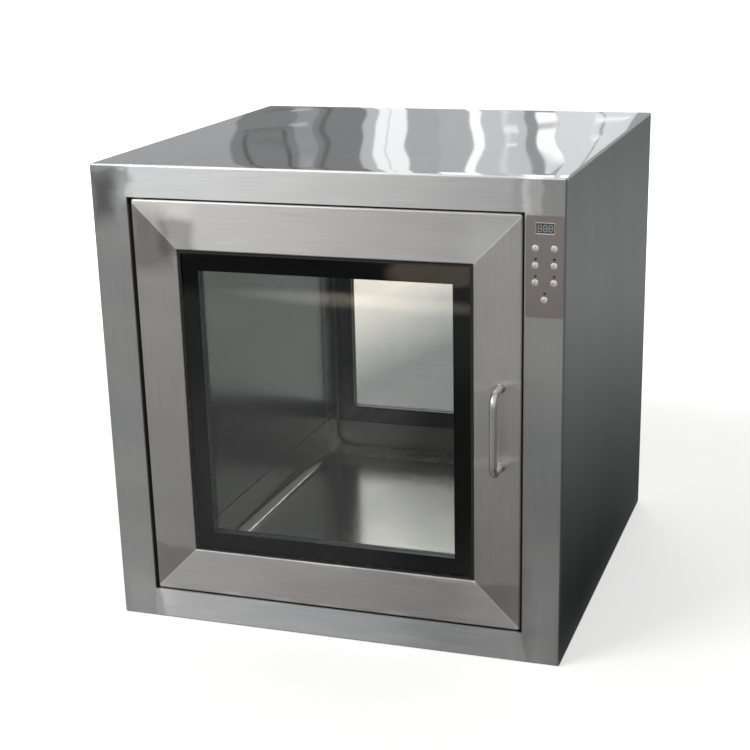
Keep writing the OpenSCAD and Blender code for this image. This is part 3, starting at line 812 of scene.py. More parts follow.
def add_plate(shape: Shape, outline: Sequence[Vector], push: Vector) -> None:
    """Adds a flat plate.

    Args:
        shape: The mesh that gets the plate.
        outline: The points round its first face.
        push: From there to its second face.
    """
    add_strip(shape, [list(outline), [point + push for point in outline]], closed=False)


# ---- Finishes of this part ------------------------------------------------------------------

STEEL_TONE = "#c6c6c4"
STEEL_SHADE = "#babbbc"

# Every patch is painted light: a painted highlight where its tone is over 1, painted shade where under. Small
# ones beside a joint also stand for clouds left by hand grinding. Those as long as a rail or a stile stand
# for
# no mark on the metal: they lift or lower it where the studio lights it too little or too much.
FRONT_LIGHT_PATCHES = (
    LightAndGrindPatch(x=0, z=588, wide=262, high=26, blur=0.12, tone=1.17),
    LightAndGrindPatch(x=-273, z=606, wide=27, high=6, blur=0.35, tone=1.4),
    LightAndGrindPatch(x=-286, z=566, wide=14, high=30, blur=0.7, tone=0.48),
    LightAndGrindPatch(x=-264, z=556, wide=11, high=36, blur=0.8, tone=1.14),
    LightAndGrindPatch(x=262, z=586, wide=11, high=24, blur=0.25, tone=1.32),
    LightAndGrindPatch(x=288, z=588, wide=14, high=22, blur=0.4, tone=0.98),
    LightAndGrindPatch(x=-276, z=290, wide=26, high=90, blur=0.9, tone=1.07),
    LightAndGrindPatch(x=-276, z=40, wide=26, high=70, blur=0.9, tone=1.16),
    LightAndGrindPatch(x=-262, z=24, wide=30, high=30, blur=0.9, tone=1.18),
    LightAndGrindPatch(x=190, z=12, wide=80, high=30, blur=0.9, tone=0.74),
    LightAndGrindPatch(x=284, z=60, wide=22, high=90, blur=0.8, tone=1.35),
)

# Sheet brushed by a belt before it is folded: long fine lines, so highlights smear across them.
CASING = BrushedSteel("stainless steel sheet, belt-brushed", STEEL_TONE, 0.46, second_tone=STEEL_SHADE)
# The same sheet as a welded frame: the grain turns upright on the stiles, and the welds are blended.
FRONT_FRAME = ButtedSteel(
    "stainless steel frame, belt-brushed and welded", STEEL_TONE, 0.46, second_tone=STEEL_SHADE,
    marks=FRONT_LIGHT_PATCHES, gap_tone=0.3,
)
# The side sheets have a finer, upright grain: a duller grey with a soft vertical sheen. Their grey is painted
# darker than the front's steel: painted shade.
SHADED_SIDE_SHEET = BrushedSteel(
    "stainless steel side sheet, fine-brushed", "#9fa3a0", 0.36, grain=Grain.UPRIGHT,
    second_tone="#989c9c", contrast=0.02, relief_mm=0.003,
)
# Bright-rolled sheet mirrors the room in wavy upright stripes, and falls away at its folded edges.
TOP_SHEET = PolishedMetal(
    "stainless steel lid, mirror-rolled", "#d6d7d8", 0.04, dent_mm=150.0, dent_depth_mm=3.0,
    folds_mm=(300.0, 295.0),
)
# Satin-rolled pans mirror the far opening softly, with one long streak along each cove.
CHAMBER_PAN = BrushedSteel(
    "stainless steel chamber pan, satin-rolled", "#b9bab8", 0.17, grain=Grain.DEEP, second_tone="#adafad",
    contrast=0.03, relief_mm=0.002, stretch=0.0,
)
# The flat walls are the same sheet, a little duller: broad soft bands and no clear mirror image.
CHAMBER_WALL = BrushedSteel(
    "stainless steel chamber wall, satin-rolled", "#abafae", 0.19, grain=Grain.DEEP,
    second_tone="#9ea2a1", contrast=0.03, relief_mm=0.002, stretch=0.4,
)
# Drawing stretches the sheet and wipes its grain out: an even satin without lines.
COLLAR = PlainMetal("stainless steel collar, drawn", "#cfd1d0", 0.24, mottle_mm=40.0, second_tone="#c4c6c5")
# Bent rod polished by hand: one broad bright line down its side, broken by fine scratches.
HANDLE = PolishedMetal("stainless steel rod, polished", "#bebfbf", 0.32, 8.0, 0.01, (2.0, 2.0, 26.0))
# A weld ground flush keeps small ripples, so it looks greyer than the rod beside it.
WELD = PolishedMetal("stainless steel weld, ground and polished", "#929291", 0.45, 2.0, 0.02, (1.0, 1.0, 1.0))
# Thin plate with short upright hairlines: warmer and darker than the frame round it.
PLATE = BrushedSteel(
    "stainless steel key plate, hairline-brushed", "#a09a96", 0.34, grain=Grain.UPRIGHT,
    second_tone="#9b9693", line_mm=0.7, run_mm=18.0, contrast=0.05,
)
# Satin chrome: each domed cap is a pale dot that is brightest at its upper left.
KEY_METAL = PolishedMetal("key cap, turned and chrome-plated", "#efefee", 0.30, 3.0, 0.004, (0.6, 0.6, 0.6))
# Clear glass: it is seen by what it mirrors, and it dims what lies behind it a little.
GLASS = FloatGlass("toughened float glass", "#f6f6f5", 0.0)
# Black enamel fused to the pane: no gloss of its own, only the gloss of the glass over it.
BORDER = MouldedPlastic(
    "ceramic border, fired black on the glass", "#070708", 0.6, tooth_mm=0.5, depth_mm=0.002, ior=1.0,
)
# A mill-finished bar between the panes: a thin dull grey line along the edge of the clear glass.
SPACER_BAR = PlainMetal("aluminium spacer bar, mill finish", "#8c8e90", 0.42, second_tone="#7d7f82")
# Sealant smoothed with a finger: nearly black, with a soft uneven shine.
SEALANT = MouldedPlastic("silicone sealant, tooled by hand", "#161717", 0.42, tooth_mm=2.5, depth_mm=0.05)
# Extruded rubber: a deep matt black that swallows the light in the door gap.
SEAL_RUBBER = MouldedPlastic("EPDM rubber seal, extruded", "#1d1e1f", 0.62, tooth_mm=0.6, depth_mm=0.01)
# A smoked window shows a dark grey face with a clear gloss on it.
DISPLAY_FACE = MouldedPlastic("smoked acrylic window, moulded", "#3b3e41", 0.22, depth_mm=0.002, coat=0.6)
# Milky bars that spread the light of the dice behind them: pale grey while they are off.
DIGIT = MouldedPlastic("diffusing epoxy of a digit's bars, cast", "#a4a9a8", 0.40, depth_mm=0.002)
# A dark lens that is only a black dot while it is off.
LED_LENS = MouldedPlastic("smoked epoxy lens, cast", "#141414", 0.15, depth_mm=0.001, coat=0.5)
# Green resist over woven glass: a fine weave under a clear lacquer.
BOARD = MouldedPlastic(
    "glass-epoxy board with green resist, printed", "#1f5a34", 0.35, tooth_mm=1.5, coat=0.4,
)
# Free-cutting brass straight from the lathe: yellow and bright, with fine turning marks.
BRASS = PlainMetal("brass spacer, turned", "#c8a75c", 0.24, second_tone="#b09048")
# Zinc on mild steel: a bluish, slightly cloudy grey.
BRACKET = PlainMetal("bright mild steel block, zinc-plated", "#a9adb0", 0.34, second_tone="#989ca1")
# Sintered bronze is open-pored and oily: a dark brown metal with a fine speckle.
BUSH = PlainMetal("sintered bronze bush, oiled", "#a07a45", 0.36, mottle_mm=0.9, second_tone="#7e5d33")
# A turned pin polished by its bush: bright and narrow highlights.
PIN = PlainMetal("stainless steel pin, turned", "#bfc0c1", 0.22, second_tone="#aaacae")
# Glossy white mouldings with soft edges.
HOLDER = MouldedPlastic("polycarbonate lamp holder, moulded", "#e4e4de", 0.38)
# Hot-dip zinc freezes in large flowers: light and dark grey patches some 14 mm wide.
GALVANISED = PlainMetal(
    "steel housing, hot-dip galvanised", "#a8acb0", 0.36, mottle_mm=14.0, second_tone="#878c92",
)
# Powder coat flows out to a faint orange peel: pale, with a soft broken shine.
BALLAST = MouldedPlastic("ballast housing, powder-coated", "#d9d9d4", 0.45, tooth_mm=1.2, depth_mm=0.03)
# Nickel over ground iron: a warm, even, half-bright grey.
MAGNET = PlainMetal("magnet core, ground and nickel-plated", "#b6b3ab", 0.25, second_tone="#a19e97")
# Plain black moulding: matt and even.
SENSOR = MouldedPlastic("nylon sensor body, moulded", "#232427", 0.45)
# Black moulding from a spark-eroded mould: a fine tooth that dulls its shine.
GLAND = MouldedPlastic("nylon cable gland, moulded", "#1a1b1c", 0.40, tooth_mm=0.5)
# Small zinc-plated fasteners: bright, a little blue, and mottled at the size of the thread.
STUD = PlainMetal("weld stud and nut, zinc-plated", "#b9bdc2", 0.30, mottle_mm=1.5, second_tone="#a3a7ad")
# Quartz lets the germicidal light out: a cool, nearly clear tube with a sharp gloss.
UV_TUBE = CoatedTube("quartz glass of the germicidal tube, drawn", "#c9cfd6", 0.05)
# Phosphor inside the glass: milk white under a sharp gloss.
WHITE_TUBE = CoatedTube("phosphor-coated glass tube, drawn", "#efeee8", 0.06)
# Drawn aluminium caps: soft, light grey metal.
LAMP_CAP = PlainMetal("aluminium lamp cap, drawn", "#bcbec1", 0.28, second_tone="#a9abaf")


def leaf_finish(side: Side, marks: tuple[LightAndGrindPatch, ...]) -> MitredSteel:
    """Makes a leaf's finish, whose mitres follow the leaf's own frame.

    Args:
        side: The side of the casing that the leaf closes.
        marks: Its patches of painted light and shade.

    Returns:
        The finish.
    """
    low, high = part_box(side.node("leaf_frame"))
    bead_low, bead_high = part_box(side.node("glazing_bead"))
    return MitredSteel(
        f"stainless steel {side.value} leaf, belt-brushed and mitred",
        STEEL_TONE,
        0.46,
        second_tone="#bebbb7",
        marks=marks,
        gap_tone=0.3,
        middle=((low.x + high.x) / 2, (low.z + high.z) / 2),
        pocket=((bead_high.x - bead_low.x) / 2, (bead_high.z - bead_low.z) / 2),
    )


# As on the frame, every patch is painted light: the long ones even out the light, and the short ones are
# painted highlights and painted shade that also stand for clouds ground by hand.
LEAF_LIGHT_PATCHES = (
    LightAndGrindPatch(x=-214, z=410, wide=36, high=130, blur=0.7, tone=1.13),
    LightAndGrindPatch(x=222, z=430, wide=34, high=130, blur=0.8, tone=1.20),
    LightAndGrindPatch(x=-188, z=522, wide=23, high=24, blur=0.35, tone=0.60),
    LightAndGrindPatch(x=-224, z=516, wide=22, high=36, blur=0.35, tone=0.68),
    LightAndGrindPatch(x=226, z=160, wide=40, high=110, blur=0.8, tone=1.20),
    LightAndGrindPatch(x=-190, z=555, wide=22, high=10, blur=0.7, tone=1.12),
    LightAndGrindPatch(x=214, z=360, wide=34, high=4, blur=0.9, tone=1.16),
    LightAndGrindPatch(x=216, z=262, wide=34, high=5, blur=0.9, tone=1.16),
    LightAndGrindPatch(x=0, z=74, wide=255, high=31, blur=0.12, tone=0.74),
)


# ---- Sub-assemblies -------------------------------------------------------------------------


@dataclass
class Casing:
    """Lid, base, side sheets and the two door frames."""

    def build(self, frame: dict) -> None:
        """Dresses the casing's sheets."""
        dress(frame, {"top_panel": TOP_SHEET, "base_panel": CASING})
        dress(frame, {"left_panel": SHADED_SIDE_SHEET, "right_panel": SHADED_SIDE_SHEET})
        dress(frame, {"front_frame": FRONT_FRAME, "rear_frame": FRONT_FRAME})


@dataclass
class Chamber:
    """The coved chamber between the doors.

    Attributes:
        bead: Width of the sealant in the joints between the walls and the pans.
        proud: How far it stands out of the joint.
        stop: How far it ends short of the joint's end.
    """

    bead: float = 1.1 * MM
    proud: float = 0.1 * MM
    stop: float = 0.6 * MM

    def joints(self) -> None:
        """Fills the joints between the walls and the pans with sealant."""
        shape = bmesh.new()
        for name, inward in (("left_wall", 1), ("right_wall", -1)):
            low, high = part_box(name)
            face = high.x if inward > 0 else low.x
            for joint in (low.z, high.z):
                y = high.y - self.stop
                x = face + inward * self.proud
                near, far = joint - self.bead / 2, joint + self.bead / 2
                corners = ((-y, near), (y, near), (y, far), (-y, far))
                outline = [Vector((x, along, up)) for along, up in corners]
                add_plate(shape, outline, Vector((-inward * 0.5 * MM, 0, 0)))
        make_piece("chamber_sealant", shape, SEALANT, "casing")

    def build(self, frame: dict) -> None:
        """Dresses the collars, pans and walls, and seals their joints."""
        dress(frame, {"floor_pan": CHAMBER_PAN, "ceiling_pan": CHAMBER_PAN})
        dress(frame, {"front_collar": COLLAR, "rear_collar": COLLAR})
        dress(frame, {"left_wall": CHAMBER_WALL, "right_wall": CHAMBER_WALL})
        self.joints()


@dataclass
class Lamps:
    """The germicidal tube, the white tube, their holders and the ballast.

    Attributes:
        cap: Length of a metal cap.
        prong: Radius of a prong.
        prong_reach: How far the prongs stand out of a cap.
        prong_gap: Distance between the two prongs of a cap.
    """

    cap: float = 10 * MM
    prong: float = 1.2 * MM
    prong_reach: float = 7 * MM
    prong_gap: float = 5 * MM

    def build(self, frame: dict) -> None:
        """Builds both tubes and dresses what holds and feeds them."""
        self.tube("uv_lamp", UV_TUBE)
        self.tube("white_lamp", WHITE_TUBE)
        dress(frame, {"lamp_holders": HOLDER, "lamp_ballast": BALLAST})

    def tube(self, node: str, glass: Finish) -> None:
        """Builds one tube in place of its node: the glass with its caps, crimped on, and its prongs.

        Args:
            node: The node that the tube stands for.
            glass: The finish of the glass.
        """
        low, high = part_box(node)
        middle = (low + high) / 2
        radius = (high.x - low.x) / 2
        half = (high.y - low.y) / 2 - self.prong_reach
        along = Vector((0, 1, 0))
        body = half - self.cap
        shoulder = 1.5 * MM
        profile = [
            (radius * 0.80, -body - shoulder),
            (radius * 0.93, -body),
            (radius * 0.96, -body + shoulder),
            (radius * 0.96, body - shoulder),
            (radius * 0.93, body),
            (radius * 0.80, body + shoulder),
        ]
        shape = bmesh.new()
        add_turned(shape, profile, middle, along, 40)
        make_piece(f"{node}_tube", shape, glass, "casing", [node])
        shape = bmesh.new()
        crimp = 1.2 * MM
        cap_profile = [
            (radius * 0.97, 0.0),
            (radius, crimp * 0.5),
            (radius, crimp * 1.5),
            (radius * 0.965, crimp * 2.0),
            (radius * 0.965, crimp * 2.6),
            (radius, crimp * 3.1),
            (radius, self.cap - crimp),
            (radius * 0.93, self.cap),
        ]
        for way in (-1, 1):
            add_turned(shape, cap_profile, middle + along * (way * body), along * way, 40)
        make_piece(f"{node}_caps", shape, LAMP_CAP, "casing")
        shape = bmesh.new()
        tip = 0.4 * MM
        prong_profile = [
            (self.prong, 0.0),
            (self.prong, self.prong_reach - tip),
            (self.prong * 0.6, self.prong_reach),
        ]
        for way in (-1, 1):
            for step in (-0.5, 0.5):
                foot = middle + along * (way * half) + Vector((0, 0, step * self.prong_gap))
                add_turned(shape, prong_profile, foot, along * way, 12)
        make_piece(f"{node}_prongs", shape, BRASS, "casing")


@dataclass
class Services:
    """The power supply, the cable gland, the door magnets and sensors, and the studs that hold them."""

    def build(self, frame: dict) -> None:
        """Dresses the fixed services."""
        dress(frame, {"power_supply": GALVANISED, "cable_gland": GLAND})
        dress(frame, {"front_magnet": MAGNET, "rear_magnet": MAGNET, "door_sensors": SENSOR})
        dress(frame, {"mounting_studs": STUD, "pivot_brackets": BRACKET, "pivot_bushes": BUSH})


@dataclass
class KeyPanel:
    """The plate with its display, indicator lamps and seven keys.

    Attributes:
        face: The face of the casing that it sits in.
        digits: Number of digits in the display.
        bar: Width of one bar of a digit.
        lean: How far a digit's top leans over, as a share of its height.
        keys: Number of keys.
    """

    face: Face
    digits: int = 3
    bar: float = 0.85 * MM
    lean: float = 0.08
    keys: int = 7

    def build(self, frame: dict) -> None:
        """Dresses the panel's nodes and builds the display's bars and lip."""
        dress(frame, {"panel_plate": PLATE, "display": DISPLAY_FACE, "indicator_leds": LED_LENS})
        dress(frame, {"circuit_board": BOARD, "board_spacers": BRASS})
        dress(frame, {f"key_{number}": KEY_METAL for number in range(1, self.keys + 1)})
        self.bars()
        self.lip()

    def window(self) -> tuple[float, float, float, float, float]:
        """Returns the display window's middle across and up, its size, and how far out its face lies."""
        low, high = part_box("display")
        hidden = 2 * MM
        middle = (low + high) / 2
        wide, tall = high.x - low.x - hidden, high.z - low.z - hidden
        return (middle.x, middle.z, wide, tall, -low.y - self.face.depth)

    def bars(self) -> None:
        """Builds the digits' seven bars each, unlit and pale under the smoked window."""
        across, up, wide, high, out = self.window()
        pitch = wide * 0.29
        half_wide, half_high = pitch * 0.31, high * 0.27
        thick = 0.1 * MM
        level = [(0.0, half_high), (0.0, 0.0), (0.0, -half_high)]
        upright = [(sx * half_wide, sy * half_high / 2) for sx in (-1, 1) for sy in (-1, 1)]
        shape = bmesh.new()
        for digit in range(self.digits):
            middle = across + (digit - (self.digits - 1) / 2) * pitch
            for spot, reach, is_level in [(s, half_wide, True) for s in level] + [
                (s, half_high / 2, False) for s in upright
            ]:
                outline = []
                for along, side in ((-1, 0), (-0.8, 1), (0.8, 1), (1, 0), (0.8, -1), (-0.8, -1)):
                    run, rise = along * reach * 0.92, side * self.bar / 2
                    dx, dz = (run, rise) if is_level else (rise, run)
                    x, z = spot[0] + dx, spot[1] + dz
                    outline.append(self.face.at(middle + x + self.lean * z, up + z, out))
                add_plate(shape, outline, self.face.at(0, 0, out + thick) - self.face.at(0, 0, out))
        make_piece("display_bars", shape, DIGIT, "casing", crease=20)

    def lip(self) -> None:
        """Builds the thin lip that holds the window in the plate."""
        across, up, wide, high, out = self.window()
        edge, rise = 0.45 * MM, 0.35 * MM
        section = ((0.0, 0.0), (0.0, rise * 0.7), (edge * 0.35, rise), (edge, rise * 0.4), (edge, 0.0))
        rings = []
        for sx, sz in SQUARE:
            corner = [(wide / 2 - inset, high / 2 - inset, lift) for inset, lift in section]
            rings.append([self.face.at(across + sx * x, up + sz * z, out + lift) for x, z, lift in corner])
        shape = bmesh.new()
        add_strip(shape, rings, closed=True)
        make_piece("display_lip", shape, KEY_METAL, "casing", crease=20)


@dataclass
class Door:
    """One double-glazed leaf with its handle, seal and interlock parts.

    Attributes:
        face: The face of the casing that the door closes.
        marks: The leaf's patches of painted light and shade.
        bead: Width of the sealant bead.
        set_back: How far the panes lie below the leaf's faces.
        lap: How far the bead laps onto the glass.
        border: Width of the border printed on each pane.
        hair: The gap that keeps two touching faces from sharing a plane.
    """

    face: Face
    marks: tuple[LightAndGrindPatch, ...]
    bead: float = 3 * MM
    set_back: float = 1 * MM
    lap: float = 0.6 * MM
    border: float = 22.5 * MM
    hair: float = 0.03 * MM

    def build(self, frame: dict) -> None:
        """Dresses the door's nodes and builds its bead and welds."""
        side = self.face.side
        leaf = leaf_finish(side, self.marks)
        finishes = {
            "leaf_frame": leaf,
            "leaf_skin": leaf,
            "outer_pane": GLASS,
            "inner_pane": GLASS,
            "pane_spacer": SPACER_BAR,
            "door_seal": SEAL_RUBBER,
            "handle": HANDLE,
            "armature": MAGNET,
            "pivot_pins": PIN,
            "sensor_magnet": SENSOR,
        }
        dress(frame, {side.node(part): finish for part, finish in finishes.items()})
        self.handle_welds()
        self.borders()
        self.glazing_bead()

    def handle_welds(self) -> None:
        """Builds the ground fillets where the handle's legs meet the leaf."""
        side = self.face.side
        low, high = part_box(side.node("handle"))
        across = self.face.across((low + high) / 2)
        rod = (high.x - low.x) / 2
        fillet, steps = 1.8 * MM, 6
        profile = [(rod + fillet * 1.25, -0.05 * MM)]
        for k in range(steps + 1):
            turn = math.pi / 2 * k / steps
            profile.append((rod + fillet * (1 - math.sin(turn)), fillet * (1 - math.cos(turn))))
        profile.append((rod * 0.9, fillet))
        shape = bmesh.new()
        out = self.face.at(0, 0, 1) - self.face.at(0, 0, 0)
        for up in (low.z + rod, high.z - rod):
            add_turned(shape, profile, self.face.at(across, up, 0), out, 48)
        make_piece(side.node("handle_welds"), shape, WELD, side.door, crease=60)

    def borders(self) -> None:
        """Builds the printed border of each pane, a hair off the glass so that no faces share a plane."""
        side = self.face.side
        low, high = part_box(side.node("pane_borders"))
        clear_low, clear_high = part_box(side.node("pane_spacer"))
        width = self.border
        across, up = self.face.across((low + high) / 2), (low.z + high.z) / 2
        wide, tall = (high.x - low.x) / 2 - self.hair, (high.z - low.z) / 2 - self.hair
        shape = bmesh.new()
        near, far = sorted(self.face.depth + side.turn * y for y in (low.y, high.y))
        spacer_near, spacer_far = sorted(self.face.depth + side.turn * y for y in (clear_low.y, clear_high.y))
        outer = (-near - self.hair, -spacer_near + self.hair)
        inner = (-spacer_far - self.hair, -far + self.hair)
        for first, last in (outer, inner):
            rings = []
            for sx, sz in SQUARE:
                ring = []
                for inset, out in ((0.0, first), (width, first), (width, last), (0.0, last)):
                    ring.append(self.face.at(across + sx * (wide - inset), up + sz * (tall - inset), out))
                rings.append(ring)
            add_strip(shape, rings, closed=True)
        names = [side.node("pane_borders")]
        make_piece(side.node("border"), shape, BORDER, side.door, names, crease=20)

    def glazing_bead(self) -> None:
        """Builds the tooled bead round both panes, hollow between wall and glass, with the cavity's seal."""
        side = self.face.side
        low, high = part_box(side.node("glazing_bead"))
        leaf_low, leaf_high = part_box(side.node("leaf_frame"))
        skin_low, skin_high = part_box(side.node("leaf_skin"))
        thick = max(leaf_high.y, skin_high.y) - min(leaf_low.y, skin_low.y)
        wide, tall = (high.x - low.x) / 2, (high.z - low.z) / 2
        across, up = self.face.across((low + high) / 2), (low.z + high.z) / 2
        steps, wall_lip = 8, 0.35 * MM
        crown = []
        for k in range(steps + 1):
            share = k / steps
            inset = share * (self.bead + self.lap)
            hollow = math.sin(math.pi * min(1.0, share * 1.15)) * 0.45 * MM
            crown.append((inset, -wall_lip - (self.set_back - wall_lip) * share * 0.94 - hollow))
        tucked = (self.bead, -self.set_back - 0.02 * MM)
        section = crown + [tucked, (self.bead, tucked[1] - thick + 2 * self.set_back)]
        section += [(inset, -thick - out) for inset, out in reversed(crown)]
        draw = random.Random(7 if side is Side.FRONT else 11)
        shape = bmesh.new()
        rings = []
        for (ax, az), (bx, bz) in self.edges(wide, tall):
            count = 44
            for k in range(count):
                share = k / count
                stray = draw.uniform(-1, 1) * 0.12 * MM if k else 0.0
                ring = []
                for inset, out in section:
                    kept = inset + (stray if 0 < inset else 0.0)
                    shrink_x, shrink_z = (wide - kept) / wide, (tall - kept) / tall
                    x = (ax + (bx - ax) * share) * shrink_x
                    z = (az + (bz - az) * share) * shrink_z
                    ring.append(self.face.at(across + x, up + z, out))
                rings.append(ring)
        add_strip(shape, rings, closed=True)
        make_piece(side.node("bead"), shape, SEALANT, side.door, [side.node("glazing_bead")])

    @staticmethod
    def edges(wide: float, tall: float) -> list[tuple[tuple[float, float], tuple[float, float]]]:
        """Returns the four edges of a rectangle of these half sizes, in order round it."""
        corners = [(x * wide, z * tall) for x, z in SQUARE]
        return list(zip(corners, corners[1:] + corners[:1]))


# ---- Studio ---------------------------------------------------------------------------------


@dataclass(frozen=True)
class Softbox:
    """A square area lamp.

    Attributes:
        name: Its name.
        place: Where it hangs, in metres.
        aim: The point it faces.
        size: Its width in metres.
        power: Its power in watts.
        tint: Its colour.
    """

    name: str
    place: Point
    aim: Point
    size: float
    power: float
    tint: str = "#ffffff"

    def hang(self) -> None:
        """Adds the lamp to the scene."""
        data = bpy.data.lights.new(self.name, "AREA")
        data.shape, data.size, data.energy = "SQUARE", self.size, self.power
        data.color = linear(self.tint)[:3]
        lamp = bpy.data.objects.new(self.name, data)
        lamp.location = self.place
        lamp.rotation_euler = (Vector(self.aim) - Vector(self.place)).to_track_quat("-Z", "Y").to_euler()
        bpy.context.scene.collection.objects.link(lamp)


@dataclass(frozen=True)
class Window:
    """A bright or dark upright panel of the room that polished steel reflects.

    Attributes:
        bearing: Its middle as a compass angle in degrees from +Y towards +X.
        half_width: Half its width in degrees.
        glow: Its brightness.
        blur: How softly its edges fade, in degrees.
        low: Its lower edge as degrees above the horizon.
        high: Its upper edge.
    """

    bearing: float
    half_width: float
    glow: float
    blur: float = 0.4
    low: float = -90.0
    high: float = 90.0


# The room's windows and the dark gaps between them, laid out for the view from the front right. From
# elsewhere the steel mirrors the broad ones at the end.
WINDOWS = (
    Window(-21.62, 2.33, 0.25, 0.08),
    Window(-22.60, 1.00, 0.15, 0.10, low=7.42, high=7.62),
    Window(-22.68, 0.80, 0.14, 0.05, low=7.93),
    Window(-22.68, 0.64, 0.25, 0.05, low=8.05),
    Window(-21.28, 0.33, 0.34, 0.06),
    Window(-21.30, 0.25, 0.50, 0.10, low=8.75, high=9.10),
    Window(-21.45, 0.30, 0.66, 0.10, low=6.95, high=7.22),
    Window(-20.62, 0.10, 0.17, 0.06),
    Window(-19.07, 0.23, 0.58, 0.04),
    Window(-18.22, 0.63, 1.10, 0.04),
    Window(-18.37, 0.03, 0.75, 0.02),
    Window(-17.00, 0.61, 0.48, 0.06),
    Window(-15.85, 0.55, 0.52, 0.06),
    Window(-15.12, 0.19, 1.30, 0.04),
    Window(-14.12, 0.82, 0.66, 0.06),
    Window(-14.10, 0.10, 0.80, 0.10),
    Window(-13.95, 0.28, 1.25, 0.05, low=7.05, high=7.25),
    Window(-13.90, 0.22, 1.25, 0.05, low=8.35, high=8.55),
    Window(-13.08, 0.22, 0.36, 0.08),
    Window(-12.48, 0.38, 1.30, 0.06, low=7.1, high=9.0),
    Window(-10.60, 1.50, 0.84, 0.08),
    Window(-10.62, 0.05, 0.40, 0.04),
    Window(-10.20, 0.75, 1.25, 0.06, low=7.15, high=7.5),
    Window(-15.65, 0.75, 1.40, 0.15, low=11.5, high=19.0),
    Window(-13.00, 0.80, 1.40, 0.15, low=11.5, high=19.0),
    Window(-11.40, 0.30, 1.40, 0.10, low=11.5, high=19.0),
    Window(30.0, 5.0, 0.95, 1.0),
    Window(62.0, 4.0, 0.9, 1.0),
    Window(100.0, 5.0, 0.85, 1.0),
    Window(150.0, 6.0, 0.85, 1.0),
    Window(-60.0, 5.0, 1.1, 1.0),
    Window(-95.0, 4.0, 1.0, 1.0),
    Window(-144.0, 7.0, 1.2, 2.0),
    Window(-164.0, 6.0, 0.25, 3.0),
)


@dataclass(frozen=True)
class Pool:
    """A stretch of painted light on the floor for the glass and the steel to reflect, lighter or darker than
    the rest.

    Attributes:
        x: Its middle, in metres.
        y: Its middle, in metres.
        wide: Half its width in metres.
        deep: Half its depth in metres.
        glow: Its brightness.
        blur: How softly its edge fades, as a share of the half size.
        turn: Its turn in degrees.
        warmth: How far its colour leans from grey to amber, from 0 to 1.
    """

    x: float
    y: float
    wide: float
    deep: float
    glow: float
    blur: float
    turn: float = 0.0
    warmth: float = 0.0

    def colour(self) -> tuple[float, float, float, float]:
        """Returns its brightness as a colour."""
        return (self.glow, self.glow * (1 - 0.25 * self.warmth), self.glow * (1 - 0.58 * self.warmth), 1.0)


# Painted pools of light and painted shadows on the mirrored floor, laid out for the same view.
POOLS = (
    Pool(-0.55, -1.85, 0.60, 0.65, 0.22, 0.6),
    Pool(-0.95, -2.28, 0.50, 0.26, 0.02, 0.4),
    Pool(-0.04, -1.00, 0.10, 0.55, 0.05, 0.5, -13.5),
    Pool(-0.465, -2.41, 0.145, 0.22, 1.2, 0.15, -8.0, 0.6),
    Pool(-0.55, -2.03, 0.26, 0.055, 2.40, 0.8, 4.0, 0.4),
    Pool(-0.2, -3.2, 1.5, 0.5, 0.95, 0.2),
)


